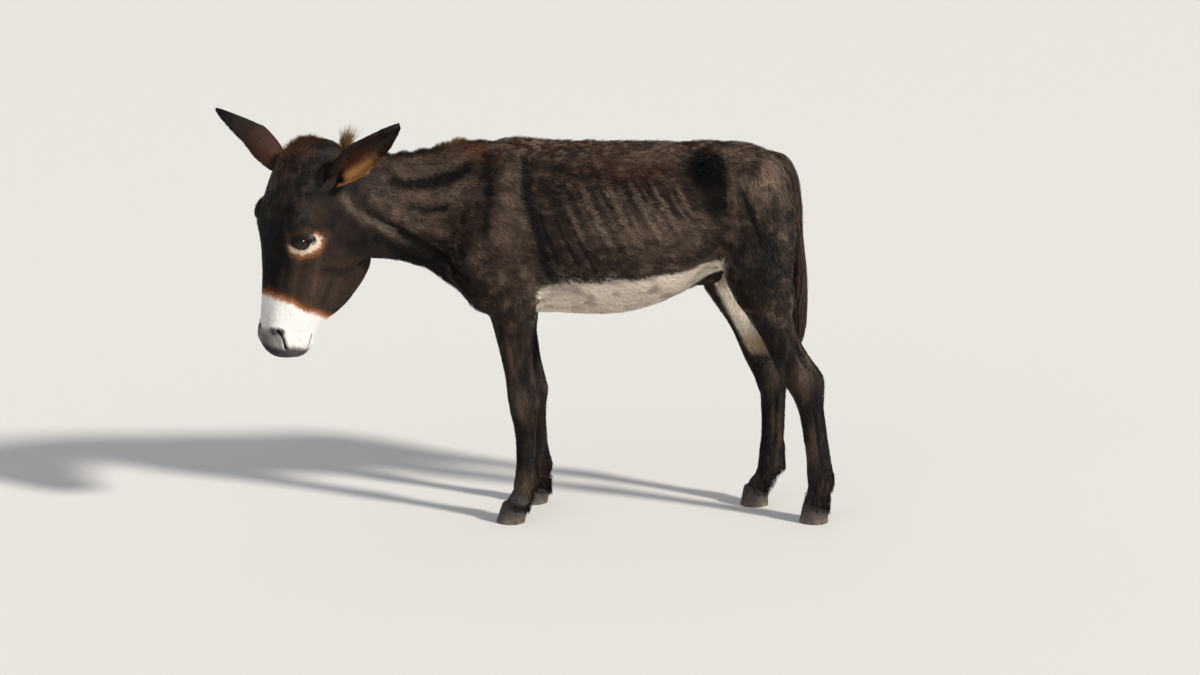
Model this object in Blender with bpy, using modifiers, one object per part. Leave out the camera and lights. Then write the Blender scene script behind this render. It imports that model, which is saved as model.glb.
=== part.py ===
"""A young donkey standing still, at life size: one named closed solid for each part of its body.

Metres, +Z up. The donkey faces -X and its left side faces -Y. The soles of the hooves lie on Z = 0,
and the origin is on the floor under the middle of the whole animal.
Flesh is modelled as overlapping lofts and muscles, made one skin by a voxel remesh, and then parted
into trunk, neck, head and legs by thin cuts. Ears, eyes, hooves, tail, mane and forelock are their own.
"""

import math

import bpy
import bmesh
import numpy as np
from mathutils import Matrix, Vector

# ---------------------------------------------------------------- driving dimensions
CUT_GAP = 0.0003            # the clear gap left between neighbouring solids
RING_POINTS = 28            # points around each loft section
RINGS_PER_SPAN = 4          # rings made between two stations of a loft
EAR_ARC_POINTS = 9          # points across an ear, inside and outside
REMESH_VOXEL = 0.006
SMOOTH_ROUNDS, BROAD_SMOOTH_ROUNDS = 4, 30       # everywhere, and on the trunk alone
FLESH_TRIANGLES = 4700      # the budget of the whole flesh before it is parted
LEFT, RIGHT = -1, 1         # the sign of Y on each side

# The trunk from breast to buttock: (x, top, widest, bottom, half width, top power, low power).
# A power of 2 is an ellipse, less is a roof, more is a box.
TRUNK = (
    (-0.355, 0.700, 0.640, 0.575, 0.045, 2.0, 2.0),
    (-0.330, 0.800, 0.660, 0.535, 0.082, 2.0, 2.0),
    (-0.285, 0.885, 0.680, 0.503, 0.102, 1.7, 2.0),
    (-0.215, 0.918, 0.670, 0.490, 0.112, 1.35, 2.0),
    (-0.120, 0.911, 0.680, 0.497, 0.121, 1.5, 2.1),
    (0.000, 0.907, 0.675, 0.491, 0.131, 1.65, 2.2),
    (0.100, 0.907, 0.680, 0.506, 0.135, 1.7, 2.2),
    (0.190, 0.906, 0.705, 0.541, 0.122, 1.7, 2.0),
    (0.270, 0.906, 0.750, 0.588, 0.112, 1.75, 2.0),
    (0.350, 0.901, 0.765, 0.610, 0.108, 1.8, 2.0),
    (0.405, 0.874, 0.760, 0.630, 0.092, 1.9, 2.0),
    (0.445, 0.830, 0.750, 0.670, 0.055, 2.0, 2.0),
)

# The neck along its middle, bending towards the left: (x, y, top, widest, bottom, half width).
NECK = (
    (-0.230, 0.000, 0.905, 0.740, 0.560, 0.080),
    (-0.330, -0.004, 0.904, 0.730, 0.545, 0.078),
    (-0.415, -0.022, 0.884, 0.735, 0.603, 0.056),
    (-0.495, -0.052, 0.878, 0.745, 0.630, 0.047),
    (-0.565, -0.090, 0.886, 0.760, 0.643, 0.048),
    (-0.620, -0.124, 0.900, 0.775, 0.665, 0.050),
)
NECK_POWERS = (1.6, 2.1)

# The head in its own frame: t runs down from the poll, n forward from the line of the face, l to its left.
HEAD_ORIGIN = Vector((-0.738, -0.190, 0.926))
HEAD_YAW = math.radians(37)     # the face turns to the donkey's left
HEAD_TILT = math.radians(1.5)   # the nose is ahead of the poll
HEAD_ROLL = math.radians(6)     # the left side hangs lower
# (t, face line, widest, jaw line, half width, face power, jaw power)
HEAD = (
    (0.002, -0.074, -0.110, -0.150, 0.034, 2.0, 2.0),
    (0.024, -0.042, -0.110, -0.182, 0.055, 2.1, 2.0),
    (0.068, -0.018, -0.097, -0.214, 0.070, 2.2, 2.0),
    (0.125, -0.004, -0.073, -0.242, 0.081, 2.4, 1.9),
    (0.190, 0.004, -0.062, -0.260, 0.088, 2.9, 1.8),
    (0.250, 0.004, -0.070, -0.271, 0.077, 2.5, 1.8),
    (0.305, 0.004, -0.074, -0.274, 0.063, 2.2, 1.9),
    (0.355, 0.005, -0.068, -0.247, 0.053, 2.2, 2.0),
    (0.402, 0.005, -0.062, -0.203, 0.048, 2.3, 2.1),
    (0.440, 0.003, -0.056, -0.141, 0.050, 2.3, 2.2),
    (0.485, -0.004, -0.054, -0.122, 0.050, 2.2, 2.2),
    (0.508, -0.022, -0.056, -0.101, 0.038, 2.0, 2.0),
)
# What swells out of the head, on both sides: (t, n, l), (across, forward, down) radii.
HEAD_FORMS = {
    "brow": ((0.182, -0.034, 0.074), (0.022, 0.032, 0.042)),
    "cheek": ((0.228, -0.160, 0.050), (0.026, 0.076, 0.088)),
    "nostril": ((0.458, -0.026, 0.032), (0.021, 0.026, 0.034)),
}
CHIN = ((0.484, -0.092, 0.0), (0.034, 0.030, 0.027))
EYE_PLACE = (0.222, -0.043, 0.0705)     # t, n, l
EYE_RADIUS = 0.0210

# Legs: each limb is a path through its joints, (x, y, z), and sections shared by the pair.
FORE_JOINTS = {
    "left": (
        (-0.205, -0.083, 0.560), (-0.181, -0.080, 0.285),
        (-0.175, -0.082, 0.105), (-0.199, -0.084, 0.040),
    ),
    "right": (
        (-0.205, 0.083, 0.560), (-0.163, 0.080, 0.285),
        (-0.152, 0.082, 0.105), (-0.149, 0.084, 0.040),
    ),
}
# (z, front reach, rear reach, half width, power)
FORE_SECTIONS = (
    (0.560, 0.070, 0.062, 0.044, 2.0),
    (0.500, 0.060, 0.050, 0.042, 2.0),
    (0.450, 0.050, 0.037, 0.036, 2.0),
    (0.400, 0.043, 0.033, 0.031, 2.0),
    (0.350, 0.038, 0.034, 0.027, 2.1),
    (0.310, 0.037, 0.036, 0.029, 2.4),
    (0.280, 0.036, 0.035, 0.029, 2.4),
    (0.248, 0.029, 0.031, 0.025, 2.2),
    (0.200, 0.024, 0.027, 0.021, 2.0),
    (0.150, 0.024, 0.028, 0.021, 2.0),
    (0.108, 0.029, 0.034, 0.025, 2.1),
    (0.072, 0.024, 0.026, 0.023, 2.0),
    (0.045, 0.026, 0.025, 0.025, 2.0),
    (0.015, 0.026, 0.025, 0.025, 2.0),
)
HIND_JOINTS = {
    "left": (
        (0.375, -0.070, 0.780), (0.345, -0.083, 0.600), (0.476, -0.080, 0.350),
        (0.498, -0.080, 0.275), (0.524, -0.082, 0.105), (0.518, -0.084, 0.040),
    ),
    "right": (
        (0.375, 0.070, 0.780), (0.280, 0.083, 0.600), (0.410, 0.074, 0.350),
        (0.420, 0.070, 0.275), (0.417, 0.064, 0.100), (0.386, 0.062, 0.040),
    ),
}
HIND_SECTIONS = (
    (0.780, 0.080, 0.075, 0.040, 2.0),
    (0.700, 0.088, 0.096, 0.052, 2.0),
    (0.640, 0.070, 0.103, 0.054, 2.0),
    (0.590, 0.060, 0.104, 0.050, 2.0),
    (0.545, 0.062, 0.084, 0.045, 2.0),
    (0.505, 0.054, 0.058, 0.040, 2.0),
    (0.455, 0.047, 0.045, 0.033, 2.0),
    (0.405, 0.049, 0.048, 0.026, 2.0),
    (0.368, 0.052, 0.056, 0.027, 2.2),
    (0.345, 0.049, 0.054, 0.028, 2.3),
    (0.315, 0.038, 0.045, 0.028, 2.3),
    (0.280, 0.031, 0.035, 0.025, 2.1),
    (0.230, 0.027, 0.034, 0.021, 2.0),
    (0.160, 0.027, 0.034, 0.021, 2.0),
    (0.106, 0.031, 0.035, 0.026, 2.1),
    (0.072, 0.026, 0.026, 0.023, 2.0),
    (0.045, 0.026, 0.026, 0.025, 2.0),
    (0.015, 0.026, 0.026, 0.025, 2.0),
)

# Muscles and bones that swell out of the lofts, made on both sides: (x, y, z), (fore-aft, across, up)
# radii, the lean in the side view and the lean of the top towards the middle, in degrees.
MUSCLES = {
    "shoulder_blade": ((-0.262, 0.074, 0.735), (0.058, 0.036, 0.160), 20, 13),
    "point_of_shoulder": ((-0.318, 0.068, 0.612), (0.042, 0.036, 0.052), 0, 0),
    "upper_arm": ((-0.235, 0.086, 0.575), (0.088, 0.038, 0.062), -20, 0),
    "hip_bone": ((0.262, 0.080, 0.832), (0.046, 0.034, 0.036), 0, 0),
    "rump": ((0.345, 0.065, 0.790), (0.100, 0.056, 0.085), 0, 0),
    "buttock": ((0.425, 0.048, 0.745), (0.038, 0.036, 0.065), 0, 0),
}
# Sizes of the parts that stand alone.
SHEATH = ((0.245, 0.0, 0.583), (0.048, 0.024, 0.028))
EAR_LENGTH = 0.247
EAR_BASE = {"left": (0.088, -0.106, 0.064), "right": (0.088, -0.078, -0.060)}    # t, n, l of the root
EAR_LEAN = {"left": (0.79, -0.42, 0.74), "right": (-0.79, 0.38, 0.50)}      # l, n and straight up
EAR_OPENING = {"left": (0.15, -0.80, -0.58), "right": (-0.38, 0.30, -0.87)}  # the way the opening faces
EAR_BOW = {"left": 0.012, "right": -0.004}      # how far the middle sags towards the opening
# (share of the length, chord width, half angle of the arc in degrees, wall thickness)
EAR_SECTIONS = (
    (0.00, 0.044, 150, 0.0080),
    (0.15, 0.056, 138, 0.0075),
    (0.32, 0.074, 112, 0.0070),
    (0.50, 0.080, 88, 0.0065),
    (0.68, 0.070, 72, 0.0060),
    (0.84, 0.047, 60, 0.0055),
    (0.95, 0.024, 50, 0.0050),
    (1.00, 0.008, 40, 0.0040),
)
EAR_RIM_SHARE = 0.35        # how thick the rims are for the wall
# The tail hangs close behind the buttocks: (x, z, radius).
TAIL = (
    (0.385, 0.872, 0.019),
    (0.426, 0.853, 0.020),
    (0.449, 0.812, 0.019),
    (0.460, 0.750, 0.017),
    (0.465, 0.680, 0.016),
    (0.474, 0.600, 0.017),
    (0.474, 0.530, 0.020),
    (0.472, 0.465, 0.019),
    (0.471, 0.405, 0.009),
)
# Where the flesh is parted.
ELBOW_CUT_HEIGHT, GROIN_CUT_HEIGHT, NECK_CUT_PLACE = 0.512, 0.590, (-0.318, 0.720)
FORE_CUT_INSIDE, HIND_CUT_INSIDE = 0.024, 0.030      # how far from the middle the legs are cut off
HEAD_CUT = ((-0.02, -0.128, 0.0), (0.275, -0.262, 0.0))     # t, n, l behind the ears and at the throat
FORE_CUT_SLOPE, HIND_CUT_SLOPE, NECK_CUT_LEAN = math.radians(14), math.radians(-10), math.radians(-17)
HIND_CUT_FRONT = {"left": 0.262, "right": 0.238}
# The mane: its height over the crest, and its root's depth under it.
MANE_HEIGHT, MANE_HALF_WIDTH, MANE_ROOT = 0.022, 0.007, 0.020
MANE_PEAK, MANE_PEAK_PLACE, MANE_PEAK_SPREAD = 0.060, 0.88, 0.035
FORELOCK = ((0.018, -0.098, 0.0), 0.014, 0.020)     # t, n, l of its root, length, root radius
HOOF_POINTS = 20
HOOF_HEIGHT, HOOF_TOE, HOOF_HEEL, HOOF_HALF_WIDTH = 0.043, 0.038, 0.033, 0.031
HOOF_LEAN = {"fore": 0.012, "hind": 0.004}          # how far ahead of its top the sole lies
HOOF_RINGS = ((0.0, 0.05), (0.06, 0.0), (0.5, 0.0), (0.93, 0.0), (1.0, 0.03))   # share of height, rounding
HOOF_TAPER, HEEL_NARROWING = 0.17, 0.10
CORONET_SLOPE = math.radians(18)                     # the hoof is higher at the toe than at the heel
CORONET_SINK = 0.008                                 # how far the middle of the top lies under the toe's

COLOURS = {
    "coat": ((0.045, 0.028, 0.020), 0.85),
    "coat_dark": ((0.022, 0.015, 0.012), 0.85),
    "horn": ((0.10, 0.085, 0.07), 0.55),
    "eye": ((0.012, 0.007, 0.005), 0.08),
    "hair": ((0.020, 0.013, 0.010), 0.70),
}


# ---------------------------------------------------------------- small tools
def clear_scene():
    for obj in list(bpy.data.objects):
        bpy.data.objects.remove(obj, do_unlink=True)


def collection(name, hidden=False):
    made = bpy.data.collections.new(name)
    bpy.context.scene.collection.children.link(made)
    made.hide_render = hidden
    return made


def material(name):
    colour, roughness = COLOURS[name]
    made = bpy.data.materials.new(name)
    made.use_nodes = True
    shader = made.node_tree.nodes["Principled BSDF"]
    shader.inputs["Base Color"].default_value = (*colour, 1.0)
    shader.inputs["Roughness"].default_value = roughness
    shader.inputs["Metallic"].default_value = 0.0
    return made


def add_object(name, mesh, into):
    obj = bpy.data.objects.new(name, mesh)
    into.objects.link(obj)
    return obj


def close_form(form, name, into):
    """A finished bmesh becomes the mesh of a new object."""
    mesh = bpy.data.meshes.new(name)
    form.to_mesh(mesh)
    form.free()
    return add_object(name, mesh, into)


def bake_modifiers(obj):
    """The object's mesh becomes what its modifiers make of it."""
    bpy.context.view_layer.update()
    graph = bpy.context.evaluated_depsgraph_get()
    obj.data = bpy.data.meshes.new_from_object(obj.evaluated_get(graph))
    obj.modifiers.clear()


def boolean(obj, other, operation):
    modifier = obj.modifiers.new(operation.lower(), "BOOLEAN")
    modifier.operation = operation
    modifier.object = other
    bake_modifiers(obj)


def smooth_rows(rows, steps=RINGS_PER_SPAN):
    """Rows of numbers with smooth ones added between them (a Catmull-Rom spline in every column)."""
    rows = np.array(rows, float)
    padded = np.vstack((2 * rows[0] - rows[1], rows, 2 * rows[-1] - rows[-2]))
    made = []
    for k in range(len(rows) - 1):
        a, b, c, d = padded[k:k + 4]
        for u in np.arange(steps) / steps:
            made.append(0.5 * (2 * b + (c - a) * u + (2 * a - 5 * b + 4 * c - d) * u * u
                               + (3 * b - a - 3 * c + d) * u ** 3))
    return np.array(made + [rows[-1]])


def egg(centre, side, up, half_width, rise, drop, top_power, low_power, count=RING_POINTS):
    """A closed section whose upper and lower halves have their own reach and fullness."""
    points = []
    for k in range(count):
        c, s = math.cos(2 * math.pi * k / count), math.sin(2 * math.pi * k / count)
        power, reach = (top_power, rise) if s >= 0 else (low_power, drop)
        across = math.copysign(abs(c) ** (2 / power), c) * half_width
        along = math.copysign(abs(s) ** (2 / power), s) * reach
        points.append(centre + side * across + up * along)
    return points


def loft(form, rings):
    """Adds a closed tube through the rings to a bmesh, with flat ends."""
    loops = [[form.verts.new(p) for p in ring] for ring in rings]
    count = len(rings[0])
    faces = [form.faces.new(reversed(loops[0])), form.faces.new(loops[-1])]
    for first, second in zip(loops, loops[1:]):
        for k in range(count):
            j = (k + 1) % count
            faces.append(form.faces.new((first[k], first[j], second[j], second[k])))
    bmesh.ops.recalc_face_normals(form, faces=faces)


def ellipsoid(form, centre, radii, turn=Matrix.Identity(4), rings=14):
    placed = Matrix.Translation(centre) @ turn @ Matrix.Diagonal((*radii, 1.0))
    bmesh.ops.create_uvsphere(form, u_segments=2 * rings, v_segments=rings, radius=1.0, matrix=placed)


# ---------------------------------------------------------------- the head's own frame
def head_axes():
    """(down the face, forward from it, to its left) as world directions."""
    forward = Vector((-math.cos(HEAD_YAW), -math.sin(HEAD_YAW), 0))
    left = Vector((math.sin(HEAD_YAW), -math.cos(HEAD_YAW), 0))
    up = Vector((0, 0, 1))
    down_face = forward * math.sin(HEAD_TILT) - up * math.cos(HEAD_TILT)
    out_face = forward * math.cos(HEAD_TILT) + up * math.sin(HEAD_TILT)
    roll = Matrix.Rotation(-HEAD_ROLL, 3, down_face.cross(left))
    return roll @ down_face, out_face, roll @ left


def head_point(t, n, l):
    down_face, out_face, left = head_axes()
    return HEAD_ORIGIN + down_face * t + out_face * n + left * l


# ---------------------------------------------------------------- flesh
def add_trunk(form):
    side, up = Vector((0, 1, 0)), Vector((0, 0, 1))
    rings = []
    for x, top, widest, bottom, half, top_power, low_power in smooth_rows(TRUNK):
        rings.append(egg(Vector((x, 0, widest)), side, up, half, top - widest, widest - bottom,
                         top_power, low_power))
    loft(form, rings)


def add_neck(form):
    rows = smooth_rows(NECK)
    up = Vector((0, 0, 1))
    rings = []
    for k, (x, y, top, widest, bottom, half) in enumerate(rows):
        ahead, behind = rows[min(k + 1, len(rows) - 1)], rows[max(k - 1, 0)]
        along = Vector((*(ahead[:2] - behind[:2]), 0)).normalized()
        rings.append(egg(Vector((x, y, widest)), up.cross(along), up, half, top - widest,
                         widest - bottom, *NECK_POWERS))
    loft(form, rings)


def add_head(form):
    down_face, out_face, left = head_axes()
    rings = []
    for t, face, widest, jaw, half, face_power, jaw_power in smooth_rows(HEAD):
        rings.append(egg(head_point(t, widest, 0), left, out_face, half, face - widest,
                         widest - jaw, face_power, jaw_power))
    loft(form, rings)


def path_at(joints, z):
    """The middle of a limb at height z, straight from joint to joint."""
    for upper, lower in zip(joints, joints[1:]):
        if z >= lower[2] or lower is joints[-1]:
            share = (upper[2] - z) / (upper[2] - lower[2])
            return Vector(upper).lerp(Vector(lower), share)


def add_leg(form, joints, sections):
    """A limb as level sections along its path: front is -X."""
    front, side = Vector((-1, 0, 0)), Vector((0, 1, 0))
    rings = []
    for z, ahead, behind, half, power in smooth_rows(sections):
        rings.append(egg(path_at(joints, z), side, front, half, ahead, behind, power, power))
    loft(form, rings)


def add_muscles(form):
    for (x, y, z), radii, lean, inward in MUSCLES.values():
        for sign in (LEFT, RIGHT):
            turn = (Matrix.Rotation(math.radians(sign * inward), 4, "X")
                    @ Matrix.Rotation(math.radians(lean), 4, "Y"))
            ellipsoid(form, (x, sign * y, z), radii, turn)


def add_head_forms(form):
    """The brows, cheeks, nostrils and chin that shape the head's outline."""
    down_face, out_face, left = head_axes()
    frame = Matrix((left, out_face, -down_face)).transposed().to_4x4()
    for sign in (LEFT, RIGHT):
        for (t, n, l), radii in HEAD_FORMS.values():
            ellipsoid(form, head_point(t, n, sign * l), radii, frame)
    ellipsoid(form, head_point(*CHIN[0]), CHIN[1], frame)


def build_flesh(into):
    form = bmesh.new()
    add_trunk(form)
    add_neck(form)
    add_head(form)
    add_head_forms(form)
    for joints in FORE_JOINTS.values():
        add_leg(form, joints, FORE_SECTIONS)
    for joints in HIND_JOINTS.values():
        add_leg(form, joints, HIND_SECTIONS)
    add_muscles(form)
    ellipsoid(form, *SHEATH)
    flesh = close_form(form, "flesh", into)
    remesh = flesh.modifiers.new("one_skin", "REMESH")
    remesh.mode = "VOXEL"
    remesh.voxel_size = REMESH_VOXEL
    smooth = flesh.modifiers.new("soften", "SMOOTH")
    smooth.factor, smooth.iterations = 0.5, SMOOTH_ROUNDS
    bake_modifiers(flesh)
    broad = flesh.vertex_groups.new(name="broad")
    for vertex in flesh.data.vertices:
        x, y, z = vertex.co
        above = min(1.0, max(0.0, (z - 0.52) / 0.10))
        behind = min(1.0, max(0.0, (x + 0.46) / 0.08))
        broad.add((vertex.index,), above * behind, "REPLACE")
    melt = flesh.modifiers.new("melt_muscles", "SMOOTH")
    melt.factor, melt.iterations, melt.vertex_group = 0.5, BROAD_SMOOTH_ROUNDS, "broad"
    bake_modifiers(flesh)
    thin = flesh.modifiers.new("facets", "DECIMATE")
    thin.ratio = FLESH_TRIANGLES / (2 * len(flesh.data.polygons))
    thin.use_collapse_triangulate = True
    bake_modifiers(flesh)
    return flesh


# ---------------------------------------------------------------- cutting the flesh into parts
def block(name, into, corner, far_corner, turn=Matrix.Identity(4), about=(0, 0, 0)):
    """A box cutter between two corners, turned about a point."""
    low, high = Vector(corner), Vector(far_corner)
    form = bmesh.new()
    bmesh.ops.create_cube(form, size=1.0)
    bmesh.ops.transform(form, matrix=Matrix.Translation((low + high) / 2)
                        @ Matrix.Diagonal((*(high - low), 1.0)), verts=form.verts)
    pivot = Matrix.Translation(about)
    bmesh.ops.transform(form, matrix=pivot @ turn @ pivot.inverted(), verts=form.verts)
    made = close_form(form, name, into)
    made.hide_render, made.display_type = True, "WIRE"
    return made


def grown(source, name, into, by):
    """A copy whose surface stands off the source's by a little, used to leave a gap."""
    made = add_object(name, source.data.copy(), into)
    made.matrix_world = source.matrix_world
    swell = made.modifiers.new("swell", "DISPLACE")
    swell.strength, swell.mid_level = by, 0.0
    bake_modifiers(made)
    made.hide_render, made.display_type = True, "WIRE"
    return made


def box_faces_out(box, by):
    """Moves every side of a box cutter outwards."""
    form = bmesh.new()
    form.from_mesh(box.data)
    form.normal_update()
    moves = {v: sum((f.normal for f in v.link_faces), Vector()) * by for v in form.verts}
    for v, move in moves.items():
        v.co += move
    form.to_mesh(box.data)
    form.free()


def part_off(rest, name, cutter, into):
    """Takes what lies in the box cutter off the rest, as a solid of its own with a gap between them."""
    piece = add_object(name, rest.data.copy(), into)
    boolean(piece, cutter, "INTERSECT")
    box_faces_out(cutter, CUT_GAP)
    boolean(rest, cutter, "DIFFERENCE")
    return piece


def part_flesh(flesh, into, cutters):
    parts = {}
    # The legs leave the trunk on planes that slope like the elbow and the flank.
    for side, sign in (("left", LEFT), ("right", RIGHT)):
        low, high = sorted((sign * FORE_CUT_INSIDE, sign * 0.4))
        lean = Matrix.Rotation(FORE_CUT_SLOPE, 4, "Y")
        cut = block("cut_foreleg_" + side, cutters, (-0.42, low, -0.5), (0.15, high, ELBOW_CUT_HEIGHT),
                    lean, (-0.20, 0, ELBOW_CUT_HEIGHT))
        parts["foreleg_" + side] = part_off(flesh, "foreleg_" + side, cut, into)
        low, high = sorted((sign * HIND_CUT_INSIDE, sign * 0.4))
        lean = Matrix.Rotation(HIND_CUT_SLOPE, 4, "Y")
        cut = block("cut_hindleg_" + side, cutters, (HIND_CUT_FRONT[side], low, -0.5),
                    (0.80, high, GROIN_CUT_HEIGHT), lean, (0.37, 0, GROIN_CUT_HEIGHT))
        parts["hindleg_" + side] = part_off(flesh, "hindleg_" + side, cut, into)
    # The head leaves the neck on a plane from behind the ears down to the throat.
    down_face, out_face, left = head_axes()
    crest, throat = head_point(*HEAD_CUT[0]), head_point(*HEAD_CUT[1])
    along = (throat - crest).normalized()
    frame = Matrix((along, left, along.cross(left))).transposed().to_4x4()
    if frame.col[2].to_3d().dot(out_face) < 0:
        frame = Matrix((along, -left, along.cross(-left))).transposed().to_4x4()
    cut = block("cut_head", cutters, (-0.3, -0.3, 0), (0.6, 0.3, 0.5))
    cut.data.transform(Matrix.Translation(crest) @ frame)
    parts["head"] = part_off(flesh, "head", cut, into)
    # The neck leaves the trunk on a plane that leans as the shoulder does.
    lean = Matrix.Rotation(NECK_CUT_LEAN, 4, "Y")
    x, z = NECK_CUT_PLACE
    cut = block("cut_neck", cutters, (-1.0, -0.3, 0.2), (x, 0.3, 1.4), lean, (x, 0, z))
    parts["neck"] = part_off(flesh, "neck", cut, into)
    flesh.name = "trunk"
    for old in list(flesh.users_collection):
        old.objects.unlink(flesh)
    into.objects.link(flesh)
    parts["trunk"] = flesh
    return parts


# ---------------------------------------------------------------- hooves
def coronet_plane(joints):
    """The middle of the hoof's top and the tilt of its plane: higher at the toe, which is towards -X."""
    foot = joints[-1]
    centre = Vector((foot[0], foot[1], HOOF_HEIGHT - CORONET_SINK))
    return centre, Matrix.Rotation(CORONET_SLOPE, 4, "Y")


def build_hoof(name, joints, lean, into):
    """A horn capsule that narrows upwards, with its lower and upper edges rounded off."""
    centre = coronet_plane(joints)[0]
    rings = []
    for share, rounding in HOOF_RINGS:
        spread = 1.0 - HOOF_TAPER * share - rounding
        ring = []
        for k in range(HOOF_POINTS):
            c, s = math.cos(2 * math.pi * k / HOOF_POINTS), math.sin(2 * math.pi * k / HOOF_POINTS)
            reach = HOOF_TOE if c >= 0 else HOOF_HEEL
            across = HOOF_HALF_WIDTH * s * (1.0 if c >= 0 else 1.0 - HEEL_NARROWING * c * c)
            # The wall leans forward: the sole lies further ahead than the coronet.
            ahead = c * reach * spread + lean * (1 - share)
            top = centre.z + ahead * math.tan(CORONET_SLOPE)
            ring.append(Vector((centre.x - ahead, centre.y + across * spread, top * share)))
        rings.append(ring)
    form = bmesh.new()
    loft(form, rings)
    return close_form(form, name, into)


def trim_leg_to_hoof(leg, joints, cutters):
    """The leg ends on the hoof's slanting top, a gap above it."""
    centre, tilt = coronet_plane(joints)
    cut = block("cut_" + leg.name, cutters, (centre.x - 0.15, centre.y - 0.15, centre.z - 0.4),
                (centre.x + 0.15, centre.y + 0.15, centre.z + CUT_GAP), tilt, centre)
    boolean(leg, cut, "DIFFERENCE")


# ---------------------------------------------------------------- ears, eyes, tail, mane
def build_ear(side, into):
    """A curved leaf with a hollow side, rolled into a tube at its root."""
    down_face, out_face, left = head_axes()
    to_left, forward, up = EAR_LEAN[side]
    along = (left * to_left + out_face * forward + Vector((0, 0, up))).normalized()
    opening = Vector(EAR_OPENING[side])
    opening = (opening - along * opening.dot(along)).normalized()
    across = along.cross(opening)
    root = head_point(*EAR_BASE[side])
    steps = EAR_ARC_POINTS
    form = bmesh.new()
    loops = []
    for share, chord, half_angle, wall in smooth_rows(EAR_SECTIONS, 2):
        half_angle = math.radians(half_angle)
        radius = chord / 2 / math.sin(min(half_angle, math.pi / 2))
        sag = EAR_BOW[side] * math.sin(math.pi * share)
        lift = radius * math.cos(half_angle) if half_angle < math.pi / 2 else 0.0
        middle = root + along * (share * EAR_LENGTH) + opening * (sag + lift)
        outer, inner = [], []
        for k in range(steps):
            turn = half_angle * (2 * k / (steps - 1) - 1)
            rim = wall * (EAR_RIM_SHARE + (1 - EAR_RIM_SHARE) * math.cos(turn / half_angle * math.pi / 2))
            ray = across * math.sin(turn) - opening * math.cos(turn)
            outer.append(form.verts.new(middle + ray * radius))
            inner.append(form.verts.new(middle + ray * (radius - rim)))
        loops.append((outer, inner))
    for (outer, inner), (next_outer, next_inner) in zip(loops, loops[1:]):
        for k in range(steps - 1):
            form.faces.new((outer[k], outer[k + 1], next_outer[k + 1], next_outer[k]))
            form.faces.new((inner[k + 1], inner[k], next_inner[k], next_inner[k + 1]))
        for k in (0, steps - 1):
            form.faces.new((outer[k], next_outer[k], next_inner[k], inner[k]))
    for outer, inner in (loops[0], loops[-1]):
        for k in range(steps - 1):
            form.faces.new((outer[k], inner[k], inner[k + 1], outer[k + 1]))
    bmesh.ops.recalc_face_normals(form, faces=form.faces)
    return close_form(form, "ear_" + side, into)


def build_eye(side, into):
    """An eyeball, whose socket is cut out of the head later."""
    t, n, l = EYE_PLACE
    form = bmesh.new()
    ellipsoid(form, head_point(t, n, l if side == "left" else -l), (EYE_RADIUS,) * 3, rings=7)
    return close_form(form, "eye_" + side, into)


def tube(name, points, radii, into, steps=10):
    """A round rod through points, widened or narrowed along its way."""
    form = bmesh.new()
    rings = []
    for k, (point, radius) in enumerate(zip(points, radii)):
        along = (points[min(k + 1, len(points) - 1)] - points[max(k - 1, 0)]).normalized()
        side = along.cross(Vector((0, 1, 0))).normalized()
        over = along.cross(side)
        rings.append([point + (side * math.cos(a) + over * math.sin(a)) * radius
                      for a in (2 * math.pi * j / steps for j in range(steps))])
    loft(form, rings)
    return close_form(form, name, into)


def build_tail(into):
    """The dock and its hair as one tapering form."""
    rows = smooth_rows(TAIL, 2)
    points = [Vector((x, 0, z)) for x, z, radius in rows]
    return tube("tail", points, [radius for x, z, radius in rows], into)


def build_mane(into):
    """A low upright blade along the crest of the neck, broken into tufts, the tallest behind the ears."""
    rows = smooth_rows(NECK, 5)
    up = Vector((0, 0, 1))
    rings = []
    last = len(rows) - 1
    for k, (x, y, top, widest, bottom, half) in enumerate(rows):
        ahead, behind = rows[min(k + 1, last)], rows[max(k - 1, 0)]
        along = Vector((*(ahead[:2] - behind[:2]), 0)).normalized()
        share = k / last
        rise = MANE_HEIGHT * min(1.0, 0.25 + 3.0 * share) * (0.72 + 0.28 * math.cos(2.4 * k))
        rise += MANE_PEAK * math.exp(-((share - MANE_PEAK_PLACE) / MANE_PEAK_SPREAD) ** 2)
        rings.append(egg(Vector((x, y, top)), up.cross(along), up, MANE_HALF_WIDTH, rise, MANE_ROOT,
                         1.6, 2.0, 8))
    form = bmesh.new()
    loft(form, rings)
    return close_form(form, "mane", into)


def build_forelock(into):
    """A short pointed tuft on the poll."""
    (t, n, l), length, radius = FORELOCK
    root, tip = head_point(t, n, l), head_point(t - length - 0.01, n - 0.012, l + 0.004)
    shares = (0.0, 0.3, 0.6, 0.85, 1.0)
    points = [root.lerp(tip, s) for s in shares]
    return tube("forelock", points, [radius * (1.05 - s) for s in shares], into)


# ---------------------------------------------------------------- the whole animal
def settle(objects):
    """Moves everything so that the origin is on the floor, under the middle of the animal."""
    corners = np.array([v.co for obj in objects for v in obj.data.vertices])
    low, high = corners.min(axis=0), corners.max(axis=0)
    move = Matrix.Translation((-(low[0] + high[0]) / 2, -(low[1] + high[1]) / 2, -low[2]))
    for obj in objects:
        obj.data.transform(move)


def finish_of(name):
    """The slot whose material a part takes."""
    for word, slot in (("hoof", "horn"), ("eye", "eye"), ("mane", "hair"), ("forelock", "hair"),
                       ("tail", "coat_dark"), ("leg", "coat_dark")):
        if word in name:
            return slot
    return "coat"


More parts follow.
